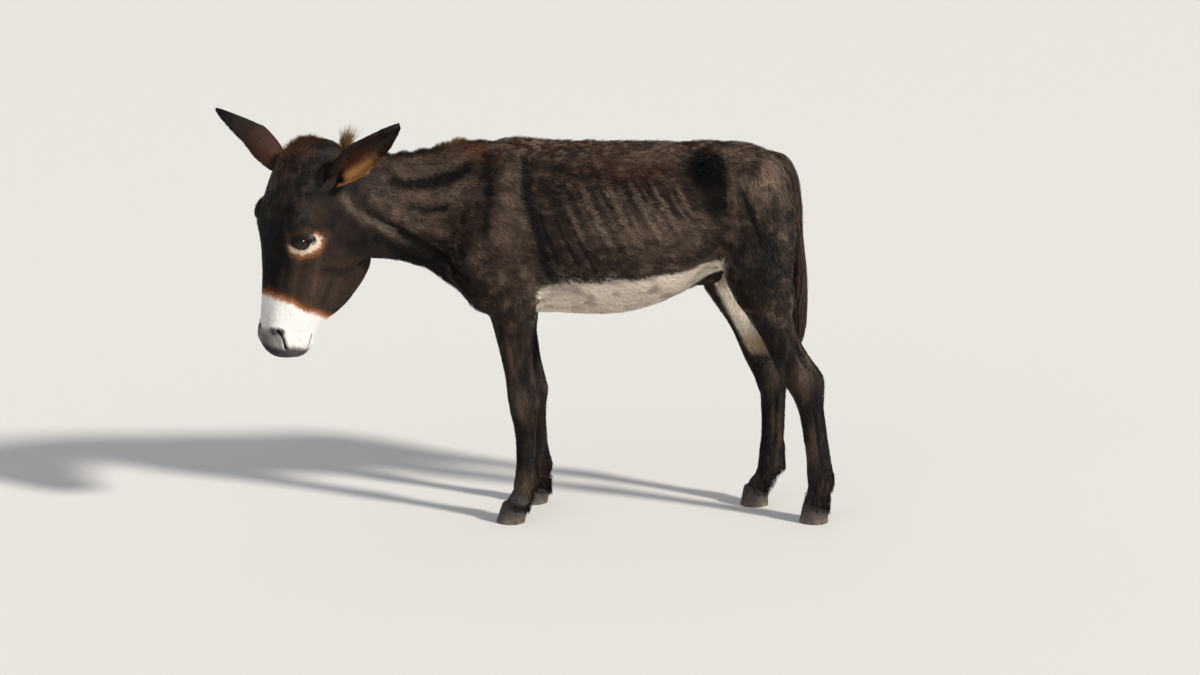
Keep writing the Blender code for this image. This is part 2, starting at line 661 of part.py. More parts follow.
def main():
    clear_scene()
    donkey = collection("donkey")
    cutters = collection("cutters", hidden=True)
    flesh = build_flesh(cutters)
    alone = {
        "tail": build_tail(donkey),
        "mane": build_mane(donkey),
        "forelock": build_forelock(donkey),
    }
    for side in ("left", "right"):
        alone["ear_" + side] = build_ear(side, donkey)
        eye = build_eye(side, donkey)
        alone["eye_" + side] = eye
        socket = grown(eye, "socket_" + side, cutters, CUT_GAP)
        boolean(flesh, socket, "DIFFERENCE")
    swollen = grown(flesh, "flesh_grown", cutters, CUT_GAP)
    for name in ("tail", "mane", "forelock", "ear_left", "ear_right"):
        boolean(alone[name], swollen, "DIFFERENCE")
    parts = part_flesh(flesh, donkey, cutters)
    hooves = {}
    for side in ("left", "right"):
        for end, joints in (("fore", FORE_JOINTS[side]), ("hind", HIND_JOINTS[side])):
            name = f"hoof_{end}_{side}"
            hooves[name] = build_hoof(name, joints, HOOF_LEAN[end], donkey)
            trim_leg_to_hoof(parts[f"{end}leg_{side}"], joints, cutters)
    finishes = {slot: material(slot) for slot in COLOURS}
    for name, obj in {**alone, **parts, **hooves}.items():
        obj.data.materials.clear()
        obj.data.materials.append(finishes[finish_of(name)])
    settle({**alone, **parts, **hooves}.values())


main()
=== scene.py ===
"""The looks of a young dark donkey: one skin with a short coat, mane, forelock, tail, eyes and hooves.

Lengths are in metres. The animal faces -X and its left side faces -Y. Everything is worked out in the
frame that the solids were drawn in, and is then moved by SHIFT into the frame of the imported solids.
"""

import math

import bmesh
import bpy
import numpy as np
from mathutils import Matrix, Vector


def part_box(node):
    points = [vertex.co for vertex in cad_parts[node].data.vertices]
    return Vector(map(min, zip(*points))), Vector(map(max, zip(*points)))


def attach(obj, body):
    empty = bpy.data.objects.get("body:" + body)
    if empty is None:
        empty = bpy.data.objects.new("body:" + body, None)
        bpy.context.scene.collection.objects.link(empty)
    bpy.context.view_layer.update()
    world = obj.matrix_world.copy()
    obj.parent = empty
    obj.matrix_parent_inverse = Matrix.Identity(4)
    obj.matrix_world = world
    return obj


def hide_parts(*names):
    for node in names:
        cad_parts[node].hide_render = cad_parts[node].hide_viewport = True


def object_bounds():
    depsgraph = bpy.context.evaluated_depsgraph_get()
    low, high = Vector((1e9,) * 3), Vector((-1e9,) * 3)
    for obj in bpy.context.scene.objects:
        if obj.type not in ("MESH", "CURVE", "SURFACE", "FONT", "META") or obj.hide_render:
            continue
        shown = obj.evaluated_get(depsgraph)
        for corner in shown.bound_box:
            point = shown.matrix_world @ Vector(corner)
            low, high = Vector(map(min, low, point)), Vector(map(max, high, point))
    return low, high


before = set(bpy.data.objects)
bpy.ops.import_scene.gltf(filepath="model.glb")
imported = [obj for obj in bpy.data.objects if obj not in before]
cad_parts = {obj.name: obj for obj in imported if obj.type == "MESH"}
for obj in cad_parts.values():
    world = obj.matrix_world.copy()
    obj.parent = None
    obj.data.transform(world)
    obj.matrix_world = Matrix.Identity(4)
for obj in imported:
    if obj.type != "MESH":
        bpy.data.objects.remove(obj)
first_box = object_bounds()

# ---------------------------------------------------------------- the form, as in the solids
TRUNK = (           # x, top, widest level, bottom, half width, roundness above and below
    (-0.355, 0.700, 0.640, 0.575, 0.045, 2.0, 2.0),
    (-0.330, 0.800, 0.660, 0.535, 0.082, 2.0, 2.0),
    (-0.285, 0.885, 0.680, 0.503, 0.102, 1.7, 2.0),
    (-0.215, 0.918, 0.670, 0.490, 0.112, 1.35, 2.0),
    (-0.120, 0.911, 0.680, 0.497, 0.121, 1.5, 2.1),
    (0.000, 0.907, 0.675, 0.491, 0.131, 1.65, 2.2),
    (0.100, 0.907, 0.680, 0.506, 0.135, 1.7, 2.2),
    (0.190, 0.906, 0.705, 0.541, 0.122, 1.7, 2.0),
    (0.270, 0.906, 0.750, 0.588, 0.112, 1.75, 2.0),
    (0.350, 0.901, 0.765, 0.610, 0.108, 1.8, 2.0),
    (0.405, 0.874, 0.760, 0.630, 0.092, 1.9, 2.0),
    (0.445, 0.830, 0.750, 0.670, 0.055, 2.0, 2.0),
)
NECK = (            # x, y, top, widest level, bottom, half width
    (-0.230, 0.000, 0.905, 0.740, 0.560, 0.080),
    (-0.330, -0.004, 0.904, 0.730, 0.545, 0.078),
    (-0.415, -0.022, 0.884, 0.735, 0.603, 0.056),
    (-0.495, -0.052, 0.878, 0.745, 0.630, 0.047),
    (-0.565, -0.090, 0.886, 0.760, 0.643, 0.048),
    (-0.620, -0.124, 0.900, 0.775, 0.665, 0.050),
)
HEAD_ORIGIN = np.array((-0.738, -0.190, 0.926))
HEAD_YAW, HEAD_TILT, HEAD_ROLL = math.radians(37), math.radians(1.5), math.radians(6)
HEAD = (            # t down the face; n of face, widest and jaw; half width, roundness above and below
    (0.002, -0.074, -0.110, -0.150, 0.034, 2.0, 2.0),
    (0.024, -0.042, -0.110, -0.182, 0.055, 2.1, 2.0),
    (0.068, -0.018, -0.097, -0.214, 0.070, 2.2, 2.0),
    (0.125, -0.004, -0.073, -0.242, 0.081, 2.4, 1.9),
    (0.190, 0.004, -0.062, -0.260, 0.088, 2.9, 1.8),
    (0.250, 0.004, -0.070, -0.271, 0.077, 2.5, 1.8),
    (0.305, 0.004, -0.074, -0.274, 0.063, 2.2, 1.9),
    (0.355, 0.005, -0.068, -0.247, 0.053, 2.2, 2.0),
    (0.402, 0.005, -0.062, -0.203, 0.048, 2.3, 2.1),
    (0.440, 0.003, -0.056, -0.141, 0.050, 2.3, 2.2),
    (0.485, -0.004, -0.054, -0.122, 0.050, 2.2, 2.2),
    (0.508, -0.022, -0.056, -0.101, 0.038, 2.0, 2.0),
)
HEAD_FORMS = (      # place as t, n, l, and radii across, out and down: brows, cheeks, nostrils
    ((0.182, -0.034, 0.074), (0.022, 0.032, 0.042)),
    ((0.228, -0.160, 0.050), (0.026, 0.076, 0.088)),
    ((0.458, -0.026, 0.032), (0.021, 0.026, 0.034)),
)
CHIN = ((0.484, -0.092, 0.0), (0.034, 0.030, 0.027))
FORE_JOINTS = {     # x, y, z of the middle line's bends, from the top
    "left": (
        (-0.205, -0.083, 0.560), (-0.181, -0.080, 0.285), (-0.175, -0.082, 0.105), (-0.199, -0.084, 0.040),
    ),
    "right": (
        (-0.205, 0.083, 0.560), (-0.163, 0.080, 0.285), (-0.152, 0.082, 0.105), (-0.149, 0.084, 0.040),
    ),
}
FORE_SECTIONS = (   # z, reach ahead and behind, half width, roundness
    (0.560, 0.070, 0.062, 0.044, 2.0),
    (0.500, 0.060, 0.050, 0.042, 2.0),
    (0.450, 0.050, 0.037, 0.036, 2.0),
    (0.400, 0.043, 0.033, 0.031, 2.0),
    (0.350, 0.038, 0.034, 0.027, 2.1),
    (0.310, 0.037, 0.036, 0.029, 2.4),
    (0.280, 0.036, 0.035, 0.029, 2.4),
    (0.248, 0.029, 0.031, 0.025, 2.2),
    (0.200, 0.024, 0.027, 0.021, 2.0),
    (0.150, 0.024, 0.028, 0.021, 2.0),
    (0.108, 0.029, 0.034, 0.025, 2.1),
    (0.072, 0.024, 0.026, 0.023, 2.0),
    (0.045, 0.026, 0.025, 0.025, 2.0),
    (0.015, 0.026, 0.025, 0.025, 2.0),
)
HIND_JOINTS = {
    "left": (
        (0.375, -0.070, 0.780), (0.345, -0.083, 0.600), (0.476, -0.080, 0.350),
        (0.498, -0.080, 0.275), (0.524, -0.082, 0.105), (0.518, -0.084, 0.040),
    ),
    "right": (
        (0.375, 0.070, 0.780), (0.280, 0.083, 0.600), (0.410, 0.074, 0.350),
        (0.420, 0.070, 0.275), (0.417, 0.064, 0.100), (0.386, 0.062, 0.040),
    ),
}
HIND_SECTIONS = (
    (0.780, 0.080, 0.075, 0.040, 2.0),
    (0.700, 0.088, 0.096, 0.052, 2.0),
    (0.640, 0.070, 0.103, 0.054, 2.0),
    (0.590, 0.060, 0.104, 0.050, 2.0),
    (0.545, 0.062, 0.084, 0.045, 2.0),
    (0.505, 0.054, 0.058, 0.040, 2.0),
    (0.455, 0.047, 0.045, 0.033, 2.0),
    (0.405, 0.049, 0.048, 0.026, 2.0),
    (0.368, 0.052, 0.056, 0.027, 2.2),
    (0.345, 0.049, 0.054, 0.028, 2.3),
    (0.315, 0.038, 0.045, 0.028, 2.3),
    (0.280, 0.031, 0.035, 0.025, 2.1),
    (0.230, 0.027, 0.034, 0.021, 2.0),
    (0.160, 0.027, 0.034, 0.021, 2.0),
    (0.106, 0.031, 0.035, 0.026, 2.1),
    (0.072, 0.026, 0.026, 0.023, 2.0),
    (0.045, 0.026, 0.026, 0.025, 2.0),
    (0.015, 0.026, 0.026, 0.025, 2.0),
)
MUSCLES = (         # place on the right side, radii, lean in the side view, lean of the top inwards
    ((-0.262, 0.074, 0.735), (0.058, 0.036, 0.160), 20, 13),
    ((-0.318, 0.068, 0.612), (0.042, 0.036, 0.052), 0, 0),
    ((-0.235, 0.086, 0.575), (0.088, 0.038, 0.062), -20, 0),
    ((0.262, 0.080, 0.832), (0.046, 0.034, 0.036), 0, 0),
    ((0.345, 0.065, 0.790), (0.100, 0.056, 0.085), 0, 0),
    ((0.425, 0.048, 0.745), (0.038, 0.036, 0.065), 0, 0),
)
SHEATH = ((0.245, 0.0, 0.583), (0.048, 0.024, 0.028))
EAR_LENGTH = 0.247
EAR_BASE = {"left": (0.088, -0.106, 0.064), "right": (0.088, -0.078, -0.060)}
EAR_LEAN = {"left": (0.79, -0.42, 0.74), "right": (-0.79, 0.38, 0.50)}
EAR_OPENING = {"left": (0.15, -0.80, -0.58), "right": (-0.38, 0.30, -0.87)}
EAR_BOW = {"left": 0.012, "right": -0.004}
EAR_RIM = 0.0032
EAR_REACH, EAR_CORE = 0.062, 0.055      # how far from its middle line a point can belong to an ear
EAR_SECTIONS = (    # share of the length, chord, half angle in degrees, wall of the bare ear
    (0.00, 0.044, 150, 0.0080),
    (0.15, 0.056, 138, 0.0070),
    (0.32, 0.073, 112, 0.0060),
    (0.50, 0.079, 88, 0.0058),
    (0.68, 0.069, 72, 0.0056),
    (0.84, 0.046, 60, 0.0052),
    (0.94, 0.026, 50, 0.0048),
    (0.985, 0.012, 45, 0.0044),
)
TAIL = (            # x, z, radius
    (0.385, 0.872, 0.019),
    (0.426, 0.853, 0.020),
    (0.449, 0.812, 0.019),
    (0.460, 0.750, 0.017),
    (0.465, 0.680, 0.016),
    (0.474, 0.600, 0.017),
    (0.474, 0.530, 0.020),
    (0.472, 0.465, 0.019),
    (0.471, 0.405, 0.009),
)
EYE_PLACE = (0.222, -0.043, 0.0705)
DOCK_END = 0.45     # the level that the tail's flesh ends at
HOOF_HEIGHT, HOOF_TOE, HOOF_HEEL, HOOF_HALF_WIDTH = 0.043, 0.038, 0.033, 0.031
HOOF_LEAN = {"fore": 0.012, "hind": 0.004}
CORONET_SLOPE = math.radians(18)
SIDES = (("left", -1), ("right", 1))
LEGS = [(kind, sign, joints[side], sections) for kind, joints, sections in (
    ("fore", FORE_JOINTS, FORE_SECTIONS), ("hind", HIND_JOINTS, HIND_SECTIONS)) for side, sign in SIDES]
FORELEGS, HINDLEGS, LEFT_LEGS = (0, 1), (2, 3), (0, 2)      # numbers in LEGS
AHEAD, RIGHT, UP = np.array((-1.0, 0, 0)), np.array((0, 1.0, 0)), np.array((0, 0, 1.0))

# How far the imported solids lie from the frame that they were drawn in, read off one hoof.
HOOF_TOE_SPREAD = 0.95
hoof_low, hoof_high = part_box("hoof_hind_left")
SHIFT = np.array((
    hoof_low[0] - (HIND_JOINTS["left"][-1][0] - HOOF_TOE * HOOF_TOE_SPREAD - HOOF_LEAN["hind"]),
    (hoof_low[1] + hoof_high[1]) / 2 - HIND_JOINTS["left"][-1][1],
    0.0,
))

# ---------------------------------------------------------------- the finish
ROUGH_VOXEL, SKIN_VOXEL = 0.006, 0.0025
MELT_ALL, MELT_TRUNK, MELT_SKIN = 4, 30, 12     # rounds of smoothing
SKIN_TRIANGLES, HAIRS = 190000, 400000
BOX_MARGIN = 0.0004         # between the hair and the solids' own box
COAT_SEED = 7


# ---------------------------------------------------------------- small tools
def smooth_rows(rows, steps):
    """Rows of numbers with smooth ones between them, as a spline through every column."""
    rows = np.array(rows, float)
    padded = np.vstack((2 * rows[0] - rows[1], rows, 2 * rows[-1] - rows[-2]))
    made = []
    for k in range(len(rows) - 1):
        a, b, c, d = padded[k:k + 4]
        for u in np.arange(steps) / steps:
            made.append(0.5 * (2 * b + (c - a) * u + (2 * a - 5 * b + 4 * c - d) * u * u
                               + (3 * b - a - 3 * c + d) * u ** 3))
    return np.array(made + [rows[-1]])


def ramp(value, low, high):
    """0 below low, 1 above high, and a smooth rise between."""
    u = np.clip((value - low) / (high - low), 0.0, 1.0)
    return u * u * (3 - 2 * u)


def fade(value, low, high):
    """1 below low, 0 above high, and a smooth fall between."""
    return 1 - ramp(value, low, high)


def bell(distance, width):
    """1 at distance 0, falling off smoothly over about the width."""
    return np.exp(-np.minimum((distance / width) ** 2, 40.0))


HASH_STEPS, HASH_TURN, HASH_MASK = (374761393, 668265263, 2147483647, 974634777), 1274126177, 0xFFFFFFFF


def hash_lattice(*cell):
    """Random values from 0 to 1 for whole numbers i, j, k and seed."""
    h = sum(part * step for part, step in zip(cell, HASH_STEPS)) & HASH_MASK
    h = ((h ^ (h >> 13)) * HASH_TURN) & HASH_MASK
    h = h ^ (h >> 16)
    return (h & 0xFFFF) / 65535.0


def noise(points, size, seed=0):
    """Smooth random values from 0 to 1 with lumps of the given size, or sizes along each axis."""
    q = points / np.array(size)
    base = np.floor(q).astype(np.int64)
    f = q - base
    f = f * f * (3 - 2 * f)
    total = np.zeros(len(points))
    for di in (0, 1):
        for dj in (0, 1):
            for dk in (0, 1):
                weight = (np.where(di, f[:, 0], 1 - f[:, 0]) * np.where(dj, f[:, 1], 1 - f[:, 1])
                          * np.where(dk, f[:, 2], 1 - f[:, 2]))
                total += weight * hash_lattice(base[:, 0] + di, base[:, 1] + dj, base[:, 2] + dk, seed)
    return total


def unit(vectors):
    vectors = np.asarray(vectors, float)
    return vectors / np.maximum(np.linalg.norm(vectors, axis=-1, keepdims=True), 1e-9)


def distance_to(points, place):
    """The distance from a place for every point."""
    return np.linalg.norm(points - place, axis=1)


def path_distance(points, path):
    """(distance from a broken line, share of the way along it) for every point."""
    path = np.asarray(path, float)
    best = np.full(len(points), 1e9)
    share = np.zeros(len(points))
    lengths = np.linalg.norm(np.diff(path, axis=0), axis=1)
    gone, whole = 0.0, lengths.sum()
    for a, b, length in zip(path, path[1:], lengths):
        along = (b - a) / length
        u = np.clip((points - a) @ along, 0, length)
        d = np.linalg.norm(points - a - u[:, None] * along, axis=1)
        nearer = d < best
        best[nearer] = d[nearer]
        share[nearer] = ((gone + u) / whole)[nearer]
        gone += length
    return best, share


def mesh_vectors(data, field):
    """One vector field of a mesh's data as rows of three."""
    flat = np.empty(len(data) * 3, np.float32)
    data.foreach_get(field, flat)
    return flat.reshape(-1, 3).astype(float)


def mesh_points(mesh):
    return mesh_vectors(mesh.vertices, "co")


def mesh_normals(mesh):
    return mesh_vectors(mesh.vertex_normals, "vector")


def set_points(mesh, points):
    mesh.vertices.foreach_set("co", np.ascontiguousarray(points, np.float32).ravel())
    mesh.update()


def smooth_faces(mesh):
    mesh.polygons.foreach_set("use_smooth", np.ones(len(mesh.polygons), bool))


def add_object(name, data):
    obj = bpy.data.objects.new(name, data)
    bpy.context.scene.collection.objects.link(obj)
    return obj


def apply_modifiers(obj):
    """Replaces the object's mesh with what its modifiers make of it."""
    bpy.context.view_layer.update()
    graph = bpy.context.evaluated_depsgraph_get()
    obj.data = bpy.data.meshes.new_from_object(obj.evaluated_get(graph))
    obj.modifiers.clear()


# ---------------------------------------------------------------- the head's own frame
def head_axes():
    """The ways down the face, out of it, and to the animal's left."""
    cos, sin = math.cos, math.sin
    forward = Vector((-cos(HEAD_YAW), -sin(HEAD_YAW), 0))
    left = Vector((sin(HEAD_YAW), -cos(HEAD_YAW), 0))
    down_face = forward * sin(HEAD_TILT) - Vector(UP) * cos(HEAD_TILT)
    out_face = forward * cos(HEAD_TILT) + Vector(UP) * sin(HEAD_TILT)
    roll = Matrix.Rotation(-HEAD_ROLL, 3, down_face.cross(left))
    return np.array(roll @ down_face), np.array(out_face), np.array(roll @ left)


DOWN_FACE, OUT_FACE, HEAD_LEFT = head_axes()


def head_point(t, n, l):
    """The point t down the face, n out of it and l to the left."""
    return HEAD_ORIGIN + DOWN_FACE * t + OUT_FACE * n + HEAD_LEFT * l


def mirrored(route, sign):
    """A route on the left of the head (sign 1), or its mirror image on the right (-1)."""
    return [head_point(t, n, l * sign) for t, n, l in route]


def head_place(points):
    """(t, n, l) of points."""
    away = points - HEAD_ORIGIN
    return away @ DOWN_FACE, away @ OUT_FACE, away @ HEAD_LEFT


CREST, THROAT = head_point(-0.02, -0.128, 0), head_point(0.275, -0.262, 0)
HEAD_PLANE = unit(np.cross(unit(THROAT - CREST), HEAD_LEFT))
if HEAD_PLANE @ OUT_FACE < 0:
    HEAD_PLANE = -HEAD_PLANE


def ahead_of_neck(points):
    """Metres in front of the plane where the head meets the neck."""
    return (points - CREST) @ HEAD_PLANE


# ---------------------------------------------------------------- ears
class Ear:
    """One ear's axis, and the way its opening faces."""

    def __init__(self, side):
        to_left, forward, up = EAR_LEAN[side]
        self.along = unit(HEAD_LEFT * to_left + OUT_FACE * forward + np.array((0, 0, up)))
        opening = np.array(EAR_OPENING[side])
        self.opening = unit(opening - self.along * (opening @ self.along))
        self.across = np.cross(self.along, self.opening)
        self.root = head_point(*EAR_BASE[side])
        self.side = side
        self.rows = smooth_rows(EAR_SECTIONS, 12)

    def centre(self, share):
        bow = EAR_BOW[self.side] * np.sin(np.pi * share)
        return self.root + self.along * (share * EAR_LENGTH) + self.opening * bow

    def at(self, share):
        """(chord, half angle, wall) at a share of the length."""
        return [np.interp(share, self.rows[:, 0], self.rows[:, k]) for k in (1, 2, 3)]

    def frame_at(self, share):
        """(middle of the arc's circle, its radius, half angle, wall)."""
        chord, half_angle, wall = self.at(share)
        half_angle = math.radians(half_angle)
        radius = chord / 2 / math.sin(min(half_angle, math.pi / 2))
        lift = radius * math.cos(half_angle) if half_angle < math.pi / 2 else 0.0
        return self.centre(share) + self.opening * lift, radius, half_angle, wall

    def point(self, share, turn, depth=0.0):
        """On the ear's back where depth is 0, and on its inner face where depth is 1."""
        middle, radius, half_angle, wall = self.frame_at(share)
        rim = max(EAR_RIM, wall * (0.35 + 0.65 * math.cos(turn * math.pi / 2)))
        ray = self.across * math.sin(turn * half_angle) - self.opening * math.cos(turn * half_angle)
        return middle + ray * (radius - rim * depth)


EARS = {side: Ear(side) for side, sign in SIDES}


def ear_place(points, ear):
    """(share of the ear's length, distance from its middle line)."""
    share = (points - ear.root) @ ear.along / EAR_LENGTH
    middle = ear.root + share[:, None] * EAR_LENGTH * ear.along \
        + np.sin(np.pi * np.clip(share, 0, 1))[:, None] * EAR_BOW[ear.side] * ear.opening
    return share, distance_to(points, middle)


# ---------------------------------------------------------------- the skin's rough form
def egg(centre, side, up, half_width, rise, drop, top_power, low_power, count=56):
    """A ring with its own height and roundness above and below the centre."""
    points = []
    for k in range(count):
        c, s = math.cos(2 * math.pi * k / count), math.sin(2 * math.pi * k / count)
        power, reach = (top_power, rise) if s >= 0 else (low_power, drop)
        across = math.copysign(abs(c) ** (2 / power), c) * half_width
        along = math.copysign(abs(s) ** (2 / power), s) * reach
        points.append(centre + side * across + up * along)
    return points


def loft(form, rings):
    """A closed surface through rings of equally many points."""
    loops = [[form.verts.new(Vector(p)) for p in ring] for ring in rings]
    count = len(rings[0])
    faces = [form.faces.new(reversed(loops[0])), form.faces.new(loops[-1])]
    for first, second in zip(loops, loops[1:]):
        for k in range(count):
            j = (k + 1) % count
            faces.append(form.faces.new((first[k], first[j], second[j], second[k])))
    bmesh.ops.recalc_face_normals(form, faces=faces)


def around(count):
    """Even angles round a circle."""
    return np.linspace(0, 2 * math.pi, count + 1)[:-1]


def ellipsoid(form, centre, radii, turn=Matrix.Identity(3), rings=22):
    """Adds a ball stretched to three radii and turned."""
    loops = []
    for polar in np.linspace(0.04, math.pi - 0.04, rings):
        loops.append([Vector(centre) + turn @ Vector((
            radii[0] * math.sin(polar) * math.cos(a),
            radii[1] * math.sin(polar) * math.sin(a),
            radii[2] * math.cos(polar),
        )) for a in around(32)])
    loft(form, loops)


def path_at(joints, z):
    """The point at a level on a line through joints, which goes on past the last one."""
    for upper, lower in zip(joints, joints[1:]):
        if z >= lower[2] or lower is joints[-1]:
            share = (upper[2] - z) / (upper[2] - lower[2])
            return np.array(upper) + (np.array(lower) - np.array(upper)) * share


def add_leg(form, joints, sections):
    """Adds one leg, with its sections strung on the line through its joints."""
    loft(form, [egg(path_at(joints, z), RIGHT, AHEAD, half, ahead, behind, power, power)
                for z, ahead, behind, half, power in smooth_rows(sections, 8)])


def add_ear(form, ear):
    """Adds one ear, as rings that run along its back and return along its lining."""
    shares = np.concatenate((np.linspace(0.0, 0.9, 40), np.linspace(0.91, 0.985, 10)))
    turns = np.linspace(-1, 1, 33)
    loft(form, [[ear.point(share, turn, 0.0) for turn in turns]
                + [ear.point(share, turn, 1.0) for turn in turns[::-1]] for share in shares])


def with_steps(rows):
    """Each row, and the step from the row before it to the one after it."""
    return zip(rows, np.vstack((rows[1:], rows[-1:])) - np.vstack((rows[:1], rows[:-1])))


def add_tail_dock(form):
    """The tail's flesh, thinner than the tail, and ending inside its hair."""
    rings = []
    for (x, z, radius), step in with_steps(smooth_rows([row for row in TAIL if row[1] > DOCK_END], 4)):
        out = unit(np.cross(unit((step[0], 0, step[1])), RIGHT))
        radius = radius - 0.004 - 0.006 * float(ramp(np.array(0.70 - z), 0, 0.2))
        middle = np.array((x, 0, z))
        rings.append([middle + out * math.cos(a) * radius + RIGHT * math.sin(a) * radius for a in around(16)])
    loft(form, rings)


def body_form():
    """The trunk, neck, head, legs and muscles as closed surfaces that pass through each other."""
    form = bmesh.new()
    loft(form, [egg(np.array((x, 0, widest)), RIGHT, UP, half, top - widest, widest - bottom, high, low)
                for x, top, widest, bottom, half, high, low in smooth_rows(TRUNK, 12)])
    loft(form, [egg(np.array((x, y, widest)), np.cross(UP, unit((step[0], step[1], 0))), UP, half,
                    top - widest, widest - bottom, 1.6, 2.1)
                for (x, y, top, widest, bottom, half), step in with_steps(smooth_rows(NECK, 12))])
    loft(form, [egg(head_point(t, widest, 0), HEAD_LEFT, OUT_FACE, half, face - widest, widest - jaw,
                    high, low)
                for t, face, widest, jaw, half, high, low in smooth_rows(HEAD, 12)])
    turn = Matrix((Vector(HEAD_LEFT), Vector(OUT_FACE), Vector(-DOWN_FACE))).transposed()
    for sign in (-1, 1):
        for place, radii in HEAD_FORMS:
            ellipsoid(form, mirrored((place,), sign)[0], radii, turn)
    ellipsoid(form, head_point(*CHIN[0]), CHIN[1], turn)
    for leg in LEGS:
        add_leg(form, *leg[2:])
    for (x, y, z), radii, lean, inward in MUSCLES:
        for sign in (-1, 1):
            tilt = (Matrix.Rotation(math.radians(sign * inward), 3, "X")
                    @ Matrix.Rotation(math.radians(lean), 3, "Y"))
            ellipsoid(form, (x, sign * y, z), radii, tilt)
    ellipsoid(form, *SHEATH)
    return form


def join_form(form, name):
    """The form as a mesh; the form is done with."""
    mesh = bpy.data.meshes.new(name)
    form.to_mesh(mesh)
    form.free()
    return mesh


def near_ears(points):
    """1 on the free part of an ear, 0 off it."""
    found = np.zeros(len(points))
    for ear in EARS.values():
        share, away = ear_place(points, ear)
        found = np.maximum(found, ramp(share, 0.10, 0.20) * (share < 1.1) * (away < EAR_CORE))
    return found


def add_weights(obj, name, weights):
    """A vertex group with its weights in a few even steps, which is quick."""
    group = obj.vertex_groups.new(name=name)
    steps = np.round(np.asarray(weights) * 10).astype(int)
    for step in range(1, 11):
        chosen = np.nonzero(steps == step)[0]
        if len(chosen):
            group.add(chosen.tolist(), step / 10, "REPLACE")


def remesh(obj, size):
    """Makes one closed surface of everything in the mesh."""
    modifier = obj.modifiers.new("one_surface", "REMESH")
    modifier.mode = "VOXEL"
    modifier.voxel_size = size
    apply_modifiers(obj)


def soften(obj, iterations, group=""):
    """Adds rounds of smoothing, everywhere or by a vertex group."""
    modifier = obj.modifiers.new("soften", "SMOOTH")
    modifier.factor, modifier.iterations, modifier.vertex_group = 0.5, iterations, group


def build_skin():
    """One closed surface for all the flesh, first softened as the solids are, then remade finer."""
    body = add_object("body", join_form(body_form(), "body"))
    remesh(body, ROUGH_VOXEL)
    points = mesh_points(body.data)
    on_trunk = ramp(points[:, 2], 0.52, 0.62) * ramp(points[:, 0], -0.46, -0.38)
    add_weights(body, "broad", on_trunk)
    soften(body, MELT_ALL)
    soften(body, MELT_TRUNK, "broad")
    apply_modifiers(body)
    form = bmesh.new()
    form.from_mesh(body.data)
    bpy.data.objects.remove(body)
    for ear in EARS.values():
        add_ear(form, ear)
    add_tail_dock(form)
    skin = add_object("skin", join_form(form, "skin"))
    remesh(skin, SKIN_VOXEL)
    add_weights(skin, "soft", 1.0 - 0.85 * near_ears(mesh_points(skin.data)))
    soften(skin, MELT_SKIN, "soft")
    apply_modifiers(skin)
    skin.vertex_groups.clear()
    return skin


# ---------------------------------------------------------------- carving the skin
BODY_DEPTH, LEG_DEPTH, HEAD_DEPTH, EAR_DEPTH = 0.0035, 0.0016, 0.0016, 0.0006

SIDE_MARKS = (      # route in the side view, half width, height; a groove's height is negative
    # folds of the neck's side, the light ridge between them, and the hollow under the jugular vein
    (((-0.486, 0.820), (-0.452, 0.812), (-0.394, 0.814), (-0.343, 0.829), (-0.315, 0.845)), 0.017, -0.0095),
    (((-0.464, 0.792), (-0.399, 0.779), (-0.348, 0.788), (-0.318, 0.812)), 0.009, 0.0035),
    (((-0.446, 0.760), (-0.406, 0.750), (-0.362, 0.757)), 0.011, -0.0060),
    (((-0.483, 0.744), (-0.423, 0.718), (-0.360, 0.694)), 0.016, 0.0030),
    (((-0.550, 0.757), (-0.500, 0.727), (-0.442, 0.687), (-0.373, 0.646), (-0.318, 0.602)), 0.013, -0.0095),
    (((-0.522, 0.729), (-0.495, 0.700), (-0.476, 0.676)), 0.008, 0.0060),
    (((-0.562, 0.760), (-0.548, 0.722), (-0.524, 0.678)), 0.008, -0.0100),
    # shoulder blade, its spine, and the hollows before and behind it
    (((-0.272, 0.874), (-0.258, 0.790), (-0.270, 0.706)), 0.018, -0.0070),
    (((-0.222, 0.890), (-0.225, 0.800), (-0.250, 0.690)), 0.022, 0.0030),
    (((-0.182, 0.860), (-0.168, 0.760), (-0.146, 0.689), (-0.126, 0.615)), 0.018, -0.0070),
    (((-0.330, 0.690), (-0.285, 0.655), (-0.235, 0.650)), 0.010, -0.0030),
    # the furrows low on the chest, behind the elbow
    (((-0.140, 0.745), (-0.122, 0.690), (-0.103, 0.637)), 0.0065, -0.0050),
    (((-0.106, 0.738), (-0.083, 0.684), (-0.056, 0.630)), 0.0065, -0.0050),
    (((-0.066, 0.722), (-0.040, 0.665), (-0.016, 0.618)), 0.0065, -0.0040),
    # haunch: the edge behind the flank hollow, the grooves of the thigh, and the fold to the stifle
    (((0.292, 0.890), (0.300, 0.840), (0.303, 0.790), (0.306, 0.740)), 0.009, 0.0065),
    (((0.330, 0.800), (0.345, 0.750), (0.372, 0.690)), 0.012, -0.0065),
    (((0.398, 0.792), (0.402, 0.715), (0.396, 0.640)), 0.010, -0.0040),
    (((0.436, 0.800), (0.441, 0.720), (0.436, 0.640)), 0.009, -0.0035),
    (((0.200, 0.618), (0.250, 0.640), (0.296, 0.690)), 0.012, 0.0045),
)
SIDE_BUMPS = (      # place in the side view, half widths along and up, height
    ((0.243, 0.848), (0.046, 0.040), -0.0135),
    ((0.258, 0.770), (0.030, 0.032), -0.0065),
    ((0.300, 0.884), (0.018, 0.014), 0.0060),
    ((0.428, 0.842), (0.016, 0.016), 0.0030),
    ((-0.300, 0.640), (0.026, 0.026), 0.0040),
    ((-0.165, 0.580), (0.022, 0.026), 0.0045),
    ((0.300, 0.600), (0.022, 0.024), 0.0030),
)
